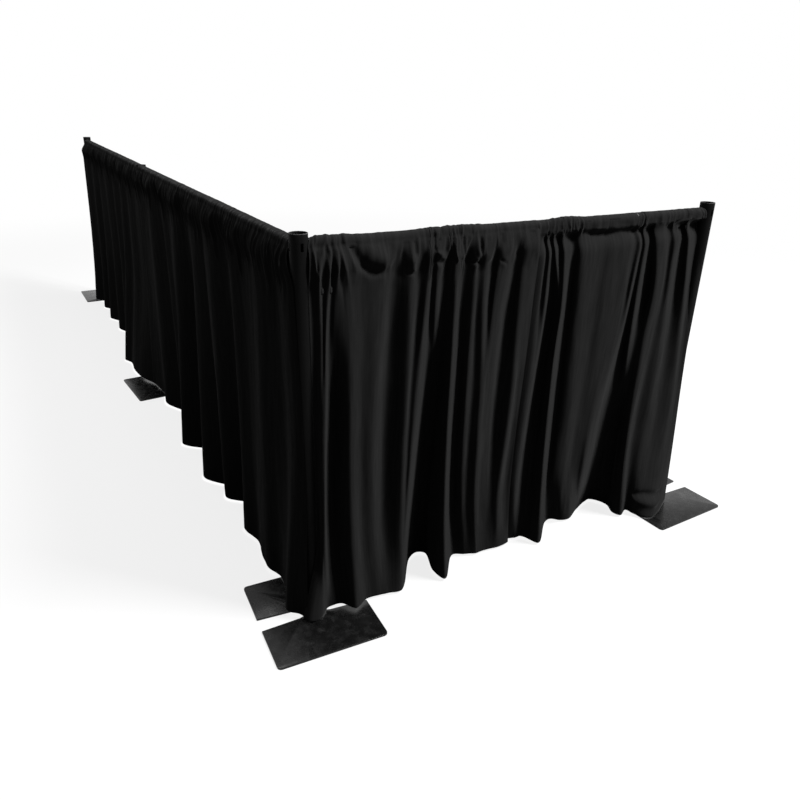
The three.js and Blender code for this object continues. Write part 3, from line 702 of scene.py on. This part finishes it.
# The long wing's bays in the same way, but at their true places, at three levels
LONG_LEVELS = (43, 22, 0.4)
NEAR_KNOTS = [
    ((-0.6, -0.95, -1.7), (1.0, 0.62, 1.35)),
    ((0.2, 0.0, -0.3), (1.2, 1.25, 1.9)),
    ((1.8, 1.4, 1.0), (1.25, 1.35, 3.0)),
    ((4.9, 4.6, 4.6), (0.85, 0.8, 1.9)),
    ((7.4, 7.6, 7.9), (1.15, 1.2, 1.4)),
    ((10.1, 10.3, 10.6), (1.4, 1.7, 2.25)),
    ((13.4, 13.5, 13.6), (1.1, 1.4, 2.1)),
    ((17.4, 17.4, 17.2), (0.95, 1.1, 1.5)),
    ((21.2, 21.3, 21.6), (1.35, 1.67, 2.2)),
    ((25.1, 25.4, 26.6), (0.6, -0.2, -1.5)),
    ((31.4, 31.2, 31.2), (1.35, 1.75, 2.2)),
    ((35.7, 35.5, 35.2), (1.05, 1.1, 0.9)),
    ((40.4, 40.2, 39.7), (1.35, 2.4, 3.75)),
    ((47.5, 47.3, 46.9), (0.6, -0.2, -1.3)),
    ((52.7, 53.0, 53.5), (1.35, 2.55, 4.0)),
    ((58.7, 58.8, 59.0), (1.0, 1.2, 0.75)),
    ((62.5, 62.6, 62.8), (1.25, 1.45, 1.5)),
    ((66.5, 66.5, 66.5), (0.6, 0.2, 0.0)),
    ((73.5, 73.5, 73.5), (1.35, 1.9, 2.6)),
    ((78.6, 78.8, 79.0), (1.0, 1.45, 1.9)),
    ((83.6, 84.0, 84.4), (1.25, 1.6, 2.5)),
    ((86.3, 86.5, 86.6), (1.32, 1.75, 2.9)),
]
FAR_KNOTS = [
    ((-0.3, -0.3, -0.4), (1.14, 1.4, 2.3)),
    ((1.8, 1.4, 1.6), (1.2, 1.6, 3.2)),
    ((6.3, 6.3, 6.3), (0.95, 1.8, 4.7)),
    ((11.6, 11.8, 11.9), (1.4, 2.5, 5.2)),
    ((16.2, 16.2, 16.2), (0.85, 1.9, 5.0)),
    ((20.6, 20.6, 19.8), (1.4, 3.0, 6.0)),
    ((26.7, 26.7, 26.6), (0.75, 0.9, 0.75)),
    ((32.9, 33.0, 33.4), (1.35, 2.1, 3.5)),
    ((38.7, 38.7, 38.5), (0.7, 0.55, 0.35)),
    ((44.9, 45.0, 45.4), (1.35, 2.1, 3.3)),
    ((51.0, 51.0, 51.2), (0.95, 1.36, 1.8)),
    ((56.8, 57.0, 57.3), (1.35, 2.4, 4.0)),
    ((63.0, 63.0, 62.8), (0.75, 0.95, 0.75)),
    ((68.8, 69.0, 69.3), (1.4, 2.4, 3.9)),
    ((74.5, 74.5, 74.6), (1.1, 1.8, 2.4)),
    ((79.3, 79.6, 80.1), (1.65, 3.0, 4.9)),
    ((84.9, 85.6, 86.9), (1.85, 2.65, 3.5)),
]
# The knot where a bay's two panels meet, and how many inches before and behind it the second starts
NEAR_MEETING = 11
FAR_MEETING = 8
MEETING_OVERLAP = 0.9
MEETING_BEHIND = 0.35

# Creases of the right bay, in its pockets, in the skirt just below and in the kink over the
# right plate, drawn as short lines in inches: half width, then places seen along the bay,
# heights, and how far each stands out
CREASE_REACH = 3
RIGHT_CREASES = [
    (0.50, (1.7, 47.5, 0.5), (5.2, 47.5, 0.36)),
    (0.40, (13.2, 47.5, 0.15), (17.0, 47.5, 0.45), (21.5, 47.5, 0.25)),
    (0.40, (32.6, 47.5, 0.3), (34.4, 47.5, 0.5), (36.6, 47.5, 0.25)),
    (0.22, (1.1, 47.4, 0.10), (1.35, 46, 0.22), (1.55, 44.6, 0.22), (1.8, 43.4, 0.12)),
    (0.22, (2.7, 47.3, 0.08), (2.35, 46, 0.22), (2.15, 44.8, 0.22), (1.85, 43.4, 0.16), (1.9, 40, 0.02)),
    (0.20, (2.7, 47.2, 0.10), (3.2, 46, 0.20), (3.12, 44, 0.22), (2.95, 40.5, 0.02)),
    (0.24, (3.5, 47.0, 0.08), (4.0, 46, 0.20), (4.05, 44, 0.20), (3.85, 41.5, 0.02)),
    (0.22, (4.1, 46.8, 0.08), (4.65, 45.4, 0.20), (5.05, 44, 0.22), (5.35, 41.5, 0.02)),
    (0.20, (4.7, 47.2, 0.10), (5.5, 45.8, 0.16), (6.0, 44.6, 0.12), (6.2, 43.6, 0.02)),
    (0.18, (1.75, 45.9, -0.15), (1.8, 44.2, -0.15)),
    (0.20, (2.75, 46.4, -0.12), (2.7, 44, -0.15)),
    (0.20, (3.5, 46, -0.10), (3.5, 43.4, -0.12)),
    (0.22, (4.45, 45.6, -0.05), (4.5, 43.6, -0.16), (4.6, 42, -0.12), (4.8, 39.5, -0.02)),
    (0.90, (6.4, 46.9, 0.10), (7.7, 45.9, 0.30), (8.9, 45.0, 0.40), (9.9, 44.7, 0.34), (10.9, 45.3, 0.10)),
    (0.50, (5.5, 46.5, -0.22), (6.3, 45.4, -0.45), (7.1, 44.3, -0.52), (8.1, 43.6, -0.48), (9.3, 43.4, -0.32),
     (10.1, 43.5, -0.05)),
    (0.60, (12.6, 46.1, -0.20), (12.0, 44.9, -0.40), (11.5, 43, -0.25)),
    (0.30, (12.7, 47.3, 0.08), (12.95, 45.6, 0.18), (13.1, 44.2, 0.24), (13.2, 43.4, 0.18)),
    (0.18, (13.7, 46.6, 0.14), (13.85, 45, 0.16), (13.4, 44.2, 0.10)),
    (0.18, (13.3, 46.4, -0.15), (13.5, 45, -0.15)),
    (0.20, (12.3, 43.05, -0.18), (13.3, 42.85, -0.2)),
    (0.40, (15.0, 45.9, -0.15), (14.7, 44.6, -0.28), (14.5, 43.2, -0.18)),
    (0.20, (15.2, 47.3, 0.08), (15.35, 45.5, 0.15), (15.6, 44.3, 0.22), (15.5, 43.4, 0.15), (15.4, 42, 0.1)),
    (0.30, (16.0, 47.0, 0.20), (16.3, 46.5, 0.10)),
    (0.16, (16.5, 47.4, -0.15), (16.6, 46.4, -0.20), (16.2, 45.7, -0.20), (15.8, 45.2, -0.15)),
    (0.20, (16.0, 44.9, 0.25), (16.7, 44.75, 0.30), (17.2, 44.2, 0.15)),
    (0.30, (16.2, 44.1, -0.30), (16.9, 43.7, -0.30)),
    (0.18, (18.0, 46.6, 0.15), (17.8, 45.4, 0.18), (17.5, 44.3, 0.12)),
    (0.20, (17.5, 46.2, -0.18), (17.3, 45, -0.15)),
    (0.20, (18.4, 46.4, -0.20), (18.2, 45.2, -0.20), (17.8, 44.3, -0.20)),
    (0.16, (18.2, 47.2, 0.15), (18.7, 46.2, 0.16), (18.7, 45, 0.18), (19.1, 43.8, 0.20)),
    (0.15, (18.0, 44.1, 0.15), (18.4, 43.7, 0.20)),
    (0.15, (18.5, 44.4, -0.20), (18.8, 43.9, -0.20)),
    (0.30, (19.8, 46.8, -0.18), (19.7, 45.6, -0.25), (19.3, 44.8, -0.20)),
    (0.16, (19.3, 47.3, 0.15), (19.5, 46.3, 0.12)),
    (0.20, (21.0, 46.8, 0.12), (20.4, 45.3, 0.18), (19.7, 44.1, 0.18)),
    (0.50, (21.4, 46.0, -0.15), (21.0, 44.8, -0.32), (20.4, 43.6, -0.32)),
    (0.20, (21.4, 47.2, 0.06), (21.7, 45.8, 0.16), (21.9, 44.6, 0.20), (22.2, 44.0, 0.22)),
    (0.20, (22.6, 46.8, 0.12), (22.6, 45.2, 0.16), (22.5, 44.2, 0.22)),
    (0.15, (22.2, 45.9, -0.15), (22.3, 44.9, -0.12)),
    (0.20, (21.3, 43.45, -0.28), (22.4, 43.2, -0.28)),
    (0.20, (23.1, 45.8, -0.12), (23.2, 44.6, -0.12)),
    (0.25, (24.2, 46.6, 0.06), (24.0, 45, 0.16), (23.6, 43.6, 0.18)),
    (0.45, (25.0, 46.6, -0.12), (25.2, 45.4, -0.32), (24.8, 44.2, -0.32), (24.5, 43, -0.22)),
    (0.16, (25.3, 43.35, -0.18), (26.1, 42.9, -0.18)),
    (0.60, (26.6, 46.2, 0.06), (26.6, 44.6, 0.14)),
    (0.45, (30.15, 46.5, -0.15), (29.5, 45.6, -0.18), (28.4, 44.6, -0.18), (27.7, 43.8, -0.18)),
    (0.35, (30.4, 46.8, 0.15), (30.7, 45, 0.15), (30.9, 43.4, 0.10)),
    (0.15, (31.6, 47.2, 0.12), (31.9, 46.6, 0.05)),
    (0.15, (33.4, 47.2, 0.10), (33.5, 46.2, 0.18), (33.4, 45.8, 0.10)),
    (0.15, (34.1, 47.2, 0.10), (34.3, 46.4, 0.12)),
    (0.14, (35.2, 47.2, 0.10), (35.5, 46.4, 0.12)),
    (0.16, (36.3, 47.1, 0.12), (36.5, 46.2, 0.18), (36.5, 45.8, 0.10)),
    (0.16, (37.4, 47.0, 0.10), (37.6, 46.2, 0.10)),
    (0.15, (32.2, 46.8, -0.08), (32.1, 45.6, -0.16)),
    (0.12, (33.0, 47.0, -0.06), (33.0, 45.9, -0.14)),
    (0.12, (34.5, 46.6, -0.06), (34.6, 45.6, -0.14)),
    (0.12, (35.7, 47.0, -0.06), (35.9, 45.7, -0.14)),
    (0.12, (37.0, 46.8, -0.06), (37.2, 45.6, -0.14)),
    (0.70, (39.8, 46.4, 0.12), (40.2, 45.9, 0.15)),
    (0.60, (43.0, 46.0, 0.15), (43.6, 45.6, 0.12)),
    (0.50, (45.6, 46.8, 0.10), (46.2, 46.2, 0.10)),
    (0.25, (49.0, 47.0, 0.08), (48.7, 45.9, 0.12)),
    (0.25, (51.4, 47.0, 0.08), (51.6, 46.0, 0.12)),
    (0.20, (54.8, 45.0, 0.20), (56.0, 45.5, 0.22), (57.2, 46.2, 0.15)),
    (0.15, (54.2, 45.6, -0.15), (55.2, 46.0, -0.12), (56.0, 46.2, -0.08)),
    (0.15, (55.0, 44.95, -0.15), (56.2, 45.1, -0.15), (57.6, 45.9, -0.12), (58.4, 46.1, -0.08)),
    (0.20, (57.8, 45.4, 0.10), (59.0, 46.0, 0.15), (60.0, 46.8, 0.10)),
    (0.50, (56.0, 3.7, -0.35), (59.0, 3.8, -0.40), (62.0, 3.5, -0.30)),
    (0.60, (55.5, 2.6, 0.45), (58.5, 2.6, 0.50), (61.8, 2.4, 0.35)),
    (0.40, (38.0, 45.4, -0.20), (40.0, 45.2, -0.25), (42.0, 44.9, -0.32), (44.0, 45.2, -0.2),
     (47.5, 45.0, -0.3)),
]

# Where the right bay's folds are seen: on a plane an inch out, from the camera's place
SEEN_PLANE = INCH
EYE_ALONG, EYE_OUT = EYE_FROM_CORNER.x, -EYE_FROM_CORNER.y


def seen_to_true(place, depth):
    """Along the bay, the true place of what is seen at place and stands out by depth."""
    return EYE_ALONG + (place - EYE_ALONG) * (EYE_OUT - depth) / (EYE_OUT - SEEN_PLANE)


def true_to_seen(place, depth):
    """Along the bay, where a thing at place is seen that stands out by depth."""
    return EYE_ALONG + (place - EYE_ALONG) * (EYE_OUT - SEEN_PLANE) / (EYE_OUT - depth)


def ease(x):
    x = np.clip(x, 0, 1)
    return x * x * (3 - 2 * x)


def smooth_levels(levels, values, height):
    """A smooth curve through values at falling levels, flat past both ends."""
    x, y = np.array(levels[::-1]) * INCH, np.array(values[::-1]) * INCH
    h = float(np.clip(height, x[0], x[-1]))
    k = min(max(int(np.searchsorted(x, h)) - 1, 0), len(x) - 2)
    slopes = np.gradient(y, x)
    step = x[k + 1] - x[k]
    t = (h - x[k]) / step
    return ((2 * t**3 - 3 * t**2 + 1) * y[k] + (t**3 - 2 * t**2 + t) * step * slopes[k]
            + (3 * t**2 - 2 * t**3) * y[k + 1] + (t**3 - t**2) * step * slopes[k + 1])


def part_way(t, start, end, a, b):
    return (end - t) / (end - start) * a + (t - start) / (end - start) * b


def curve_through(knots, columns):
    """A centripetal curve through the knots, at fractions of knots."""
    points = np.vstack([2 * knots[0] - knots[1], knots, 2 * knots[-1] - knots[-2]])
    k = np.clip(columns.astype(int), 0, len(knots) - 2)
    p = [points[k + j] for j in range(4)]
    gaps = [np.sqrt(np.maximum(np.linalg.norm(p[j + 1] - p[j], axis=1), NEVER_ZERO)) for j in range(3)]
    t0, t1, t2, t3 = np.cumsum([np.zeros(len(columns)), *gaps], axis=0)[:, :, None]
    t = t1 + ((columns - k) * gaps[1])[:, None]
    a1 = part_way(t, t0, t1, p[0], p[1])
    a2 = part_way(t, t1, t2, p[1], p[2])
    a3 = part_way(t, t2, t3, p[2], p[3])
    b1 = part_way(t, t0, t2, a1, a2)
    b2 = part_way(t, t1, t3, a2, a3)
    return part_way(t, t1, t2, b1, b2)


def creased(creases, place, height):
    """How far the creases stand out at each point, given where it is seen and its height."""
    total = np.zeros(place.shape)
    for half, *line in creases:
        half *= INCH
        ends = np.array(line) * INCH
        reach = CREASE_REACH * half
        near = ((place > ends[:, 0].min() - reach) & (place < ends[:, 0].max() + reach)
                & (height > ends[:, 1].min() - reach) & (height < ends[:, 1].max() + reach))
        if not near.any():
            continue
        x, z = place[near], height[near]
        best, stand = np.full(x.shape, np.inf), np.zeros(x.shape)
        for (x0, z0, h0), (x1, z1, h1) in zip(ends, ends[1:]):
            span = (x1 - x0) ** 2 + (z1 - z0) ** 2
            t = np.clip(((x - x0) * (x1 - x0) + (z - z0) * (z1 - z0)) / span, 0, 1)
            away = (x - x0 - t * (x1 - x0)) ** 2 + (z - z0 - t * (z1 - z0)) ** 2
            nearer = away < best
            best = np.where(nearer, away, best)
            stand = np.where(nearer, h0 + t * (h1 - h0), stand)
        total[near] += stand * np.exp(-best / half**2)
    return total


def clear_of_posts(s, out, posts):
    for post in posts:
        away = np.stack([s - post, out])
        reach = np.maximum(np.linalg.norm(away, axis=0), NEVER_ZERO)
        push = np.where(reach < POST_CLEAR, POST_CLEAR / reach, 1)
        s, out = post + away[0] * push, away[1] * push
    return s, out


def drawn_in(s, posts, least):
    """The columns at a post's side are drawn in, so that none is nearer its axis than least."""
    s = s.copy()
    for end, post, inwards in ((0, posts[0], 1), (-1, posts[1], -1)):
        stop = post + inwards * least
        if (s[end] - stop) * inwards < 0:
            inner = s[end] + inwards * DRAWN_REACH
            near = (s - inner) * inwards < 0
            s[near] = stop + (s[near] - s[end]) * (inner - stop) / (inner - s[end])
    return s


def spaced_columns(knots_at, seam_height):
    """Where the columns lie between the knots, and how far across the cloth, evenly spaced on
    the mean run of the folds at the seam, at mid height and at the hem."""
    count = len(knots_at(seam_height))
    fine = np.linspace(0, count - 1, KNOT_STEPS * (count - 1) + 1)
    runs = []
    for height in (seam_height, seam_height / 2, HEM_HEIGHT):
        steps = np.linalg.norm(np.diff(curve_through(knots_at(height), fine), axis=0), axis=1)
        runs.append(np.concatenate([[0], np.cumsum(steps)]))
    run = sum(runs) / len(runs)
    across = np.linspace(0, run[-1], DRAPE_COLUMNS)
    return np.interp(across, run, fine), across


def folded_rows(knots_at, seam, tuck, radius, posts, at):
    """Rows of places along the bay, out of it and up, from behind the seam over the bar to the
    hem, with the folds alone, and how far down the cloth each row lies."""
    seam_height = BAR_HEIGHT - seam
    drop = seam_height - HEM_HEIGHT - HEM_TURN
    rows, lengths = [], []

    def add(s, out, z, length):
        rows.append([s, out, np.broadcast_to(z, s.shape).astype(float)])
        lengths.append(length)

    seam_s, seam_out = curve_through(knots_at(seam_height), at).T
    seam_out = seam_out - tuck
    back_length = -seam - math.pi * radius - seam
    back_s = drawn_in(seam_s, posts, POST_CLEAR)
    add(back_s, seam_out - LAYER_GAP, seam_height - SEAM_ALLOWANCE, back_length - SEAM_ALLOWANCE)
    for k in range(RISE_STEPS):
        share = k / RISE_STEPS
        turn = share**BACK_TURN_POWER
        out = (seam_out - LAYER_GAP) * (1 - turn) - radius * turn - BACK_BULGE * math.sin(math.pi * share)
        add(back_s, out, seam_height + seam * share, back_length + seam * share)
    for k in range(OVER_STEPS):
        angle = math.pi * (1 - k / OVER_STEPS)
        out = radius * math.cos(angle)
        least = math.sqrt(POST_CLEAR**2 - out**2)
        add(drawn_in(seam_s, posts, least), np.full(DRAPE_COLUMNS, out),
            BAR_HEIGHT - POCKET_DROP + radius * math.sin(angle), -seam - radius * angle)

    front_s = drawn_in(seam_s, posts, math.sqrt(POST_CLEAR**2 - radius**2))
    fall_steps = max(LEAST_FALL_ROWS, round(seam / FALL_ROW))
    for k in range(fall_steps):
        share = k / fall_steps
        soft = ease(share)
        if tuck == 0:
            swell = ease(share / LOOSE_SWELL_BY)
            sag = POCKET_SAG * math.sin(math.pi * share**SAG_HIGH_POWER) ** SAG_NARROW_POWER
        else:
            swell = ease((share - TIGHT_SWELL_FROM) / (1 - TIGHT_SWELL_FROM))
            sag = 0
        add(front_s * (1 - soft) + seam_s * soft, radius * (1 - swell) + seam_out * swell + sag,
            BAR_HEIGHT - seam * share, -seam * (1 - share))
    for k in range(DRAPE_ROWS + 1):
        fallen = drop * (k / DRAPE_ROWS)
        s, out = curve_through(knots_at(seam_height - fallen), at).T
        add(s, out - tuck * math.exp(-(fallen / TUCK_RETURN) ** 2), seam_height - fallen, fallen)
    return np.array(rows), lengths


def cloth_noise(across, lengths, seed, waves, falls, skip, lean=0):
    """Noise at so many waves a metre across the cloth and falls a metre down it. It is worked
    out on each skip-th column."""
    coarse = across[::skip]
    rows = [[noise.noise(Vector((c * waves, v * falls + c * lean, seed))) for c in coarse] for v in lengths]
    return np.stack([np.interp(across, coarse, row) for row in rows])


def wrinkled(grid, lengths, across, radius, creases, from_eye, seed, posts):
    """The folded panel with what stands out from its folds, kept off the uprights and the bar.
    Creases drawn from the eye lie where they are seen."""
    s, out, z = grid[:, 0], grid[:, 1], grid[:, 2]
    place = true_to_seen(s, out) if from_eye else s
    length = np.array(lengths)[:, None]
    slack = cloth_noise(across, lengths, seed, waves=11, falls=2.4, skip=4)
    wrinkles = cloth_noise(across, lengths, seed + 3, waves=42, falls=11, skip=2, lean=5)
    puckers = cloth_noise(across, lengths, seed + 6, waves=60, falls=17, skip=2, lean=9)
    stand = creased(creases, place + CREASE_LEAD * INCH, z)
    stand = stand + SLACK * slack * ease(length / SLACK_BY) + WRINKLE * wrinkles
    stand = stand + PUCKER * puckers * ease((PUCKER_FOOT - length) / PUCKER_FADE)
    stand = stand * ease(np.minimum(across, across[-1] - across) / EDGE_REACH)

    front = (np.arange(len(lengths)) >= BACK_ROWS + OVER_STEPS)[:, None]
    from_bar = np.maximum(np.hypot(out, z - BAR_HEIGHT), NEVER_ZERO)
    on_bar = (from_bar < radius + ON_BAR_REACH) & ((out > 0) | (z > BAR_HEIGHT))
    toward_front = ease((out / radius + 1) / 2)
    spread = 1 + np.maximum(stand, -ON_BAR_SINK) * toward_front / from_bar
    out = np.where(on_bar, out * spread, np.where(front, out + stand, out))
    z = np.where(on_bar, BAR_HEIGHT + (z - BAR_HEIGHT) * spread, z)
    z = z + HEM_UNEVEN * (slack + HEM_LEVEL) * ease((length - lengths[-1] + HEM_REACH) / HEM_REACH)
    s, out = clear_of_posts(s, out, posts)

    # behind, the cloth stays plain, but it gives way where a crease presses the seam back
    seam_row = len(lengths) - DRAPE_ROWS - 1
    pressed = np.minimum(out[seam_row - 1:seam_row + 3].min(axis=0) - grid[seam_row, 1], 0)
    given = [1.0] + [1 - (k / RISE_STEPS) ** BACK_TURN_POWER for k in range(RISE_STEPS)]
    s[:BACK_ROWS] = grid[:BACK_ROWS, 0]
    out[:BACK_ROWS] = grid[:BACK_ROWS, 1] + np.array(given)[:, None] * pressed
    return s, out, z


def hemmed(s, out, z, lengths):
    """The panel with its hem turned up behind, on the horizontal normal of the last row."""
    tangent = np.stack([np.gradient(s[-1]), np.gradient(out[-1])])
    tangent /= np.maximum(np.linalg.norm(tangent, axis=0), NEVER_ZERO)
    inward = np.stack([tangent[1], -tangent[0]])
    row_drop = lengths[-1] / DRAPE_ROWS
    last = len(lengths) - 1
    lengths = list(lengths)
    turned = [(HEM_TURN, 0, -HEM_TURN)] + [(2 * HEM_TURN, k, 0) for k in range(HEM_ROWS + 1)]
    for offset, raised, fall in turned:
        source = last - raised
        s = np.vstack([s, s[source] + inward[0] * offset])
        out = np.vstack([out, out[source] + inward[1] * offset])
        z = np.vstack([z, z[source] + fall])
        lengths.append(lengths[last] + offset + raised * row_drop)
    return s, out, z, np.array(lengths)


def panel_mesh(name, x, y, z, across, lengths, reverse):
    """A grid whose points go to the rows' places, with the flat cloth as its UV map."""
    half = 0.5
    bm = bmesh.new()
    bmesh.ops.create_grid(bm, x_segments=len(across) - 1, y_segments=len(lengths) - 1, size=half)
    if reverse:
        bmesh.ops.reverse_faces(bm, faces=bm.faces)
    panel = add_object(name, bm, DRAPE_CLOTH)
    mesh = panel.data
    flat = np.zeros(3 * len(mesh.vertices))
    mesh.vertices.foreach_get("co", flat)
    flat = flat.reshape(-1, 3)
    i = np.rint((flat[:, 0] + half) * (len(across) - 1)).astype(int)
    j = np.rint((half - flat[:, 1]) * (len(lengths) - 1)).astype(int)
    mesh.vertices.foreach_set("co", np.stack([x[j, i], y[j, i], z[j, i]], axis=1).ravel())
    corners = np.zeros(len(mesh.loops), dtype=int)
    mesh.loops.foreach_get("vertex_index", corners)
    layer = mesh.uv_layers.new(name="cloth")
    uv = np.stack([across[i], -lengths[j]], axis=1)[corners]
    layer.uv.foreach_set("vector", uv.ravel().astype(np.float32))
    mesh.update()
    mesh.shade_smooth()
    return panel


def drape(name, knots_at, seam, tuck, creases, radius, seed, span, to_world):
    """One panel, and its flat width and length. knots_at gives its plan points at a height."""
    posts = (0.0, span)
    short_wing = to_world is right_world
    at, across = spaced_columns(knots_at, BAR_HEIGHT - seam)
    grid, lengths = folded_rows(knots_at, seam, tuck, radius, posts, at)
    s, out, z = wrinkled(grid, lengths, across, radius, creases, short_wing, seed, posts)
    s, out, z, lengths = hemmed(s, out, z, lengths)
    x, y = to_world(s, out)
    panel = panel_mesh(name, x, y, z, across, lengths, reverse=not short_wing)
    return panel, float(across[-1]), float(lengths[-1] - lengths[0])


# The lit flanks' lead grows from nothing at the corner and ends at the right post, in inches
LEAD_FROM, LEAD_GROWS = 0.5, 2.5
LEAD_UP_TO, LEAD_FADES = 61.5, 3


def plan_knots(levels, table, seen_from_eye):
    """A function that gives a table's knots, along the bay and out of it, at a height."""
    def at(height):
        knots = np.array([[smooth_levels(levels, values, height) for values in knot] for knot in table])
        if seen_from_eye:
            place, depth = knots.T
            inner = ease((place / INCH - LEAD_FROM) / LEAD_GROWS)
            inner = inner * ease((LEAD_UP_TO - place / INCH) / LEAD_FADES)
            lead = inner * smooth_levels(levels, LIT_LEAD, height)
            knots[:, 0] = seen_to_true(place - lead, depth)
        return knots
    return at


# The long wing's pockets are gathered in soft lines from the bar past a bend to a foot, in
# inches. Waves along the bay vary their width, lean, foot and spacing.
GATHER_FIRST, GATHER_LAST = 1.5, 1
GATHER_TOP, GATHER_BEND, GATHER_FOOT = 47.3, 45.6, 43.4
GATHER_HALF, GATHER_STANDS = 0.24, (0.08, 0.20, 0.03)
GATHER_STEP, BEND_SHARE = 0.95, 0.4
HALF_VARIES, LEAN_VARIES, FOOT_VARIES = 0.08, 0.7, 3.4
STEP_VARIES, STEP_DRIFTS = 0.3, 0.5
TURN_WAVE, LEAN_WAVE, FOOT_WAVE, DRIFT_WAVE = 2.9, 1.7, 0.9, 0.53


def long_creases(span, seed):
    """Gathers spread unevenly along a bay of the long wing."""
    found = []
    place = GATHER_FIRST
    at_top, at_bend, at_foot = GATHER_STANDS
    while place < span / INCH - GATHER_LAST:
        turn = math.sin(seed + place * TURN_WAVE)
        varies = HALF_VARIES * turn
        lean = LEAN_VARIES * math.sin(seed + place * LEAN_WAVE)
        foot = GATHER_FOOT - FOOT_VARIES * abs(math.sin(seed + place * FOOT_WAVE))
        found.append((GATHER_HALF + varies, (place, GATHER_TOP, at_top),
                      (place + lean * BEND_SHARE, GATHER_BEND, at_bend + varies),
                      (place + lean, foot, at_foot)))
        drift = STEP_DRIFTS * math.sin(seed * 2 + place * DRIFT_WAVE)
        place += GATHER_STEP + drift + STEP_VARIES * turn
    return found


def right_world(s, out):
    return CORNER.x + s, CORNER.y - out


def long_world(start_y):
    return lambda s, out: (CORNER.x - out, start_y + s)


def long_panels(table, meeting, span, seed):
    """A long bay's two panels. They share its table, with an overlap where they meet."""
    places, depths = table[meeting]
    tucked = (tuple(place - MEETING_OVERLAP for place in places),
              tuple(depth - MEETING_BEHIND for depth in depths))
    return [(plan_knots(LONG_LEVELS, knots, False), LOOSE_SEAM, 0, long_creases(span, seed + k))
            for k, knots in enumerate((table[:meeting + 1], [tucked, *table[meeting + 1:]]))]


RIGHT_X, _ = axis_of("right")
_, MIDDLE_Y = axis_of("middle")
_, LEFT_Y = axis_of("left")
NEAR_SEED, FAR_SEED = 4.1, 6.1
INDEX_SEED = 7.3
right_panels = [
    (plan_knots(RIGHT_LEVELS, RIGHT_FIRST, True), LOOSE_SEAM, 0, RIGHT_CREASES),
    (plan_knots(RIGHT_LEVELS, RIGHT_SECOND, True), TIGHT_SEAM, TIGHT_TUCK, RIGHT_CREASES),
]
near_panels = long_panels(NEAR_KNOTS, NEAR_MEETING, MIDDLE_Y - CORNER.y, NEAR_SEED)
far_panels = long_panels(FAR_KNOTS, FAR_MEETING, LEFT_Y - MIDDLE_Y, FAR_SEED)
hung = 0
for bay, start, end, to_world, panels in (
    ("right", (CORNER.x, CORNER.y), (RIGHT_X, CORNER.y), right_world, right_panels),
    ("near", (CORNER.x, CORNER.y), (CORNER.x, MIDDLE_Y), long_world(CORNER.y), near_panels),
    ("far", (CORNER.x, MIDDLE_Y), (CORNER.x, LEFT_Y), long_world(MIDDLE_Y), far_panels),
):
    span = max(end[0] - start[0], end[1] - start[1])
    for index, (knots_at, seam, tuck, creases) in enumerate(panels, start=1):
        radius = POCKET_RADIUS - (index - 1) * UNDERLAP
        panel, width, length = drape(f"{bay}_panel_{index}", knots_at, seam, tuck, creases, radius,
                                     index * INDEX_SEED + hung, span, to_world)
        hung += 1
        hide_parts(f"{bay}_drape_{index}")
        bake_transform(panel)

low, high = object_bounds()
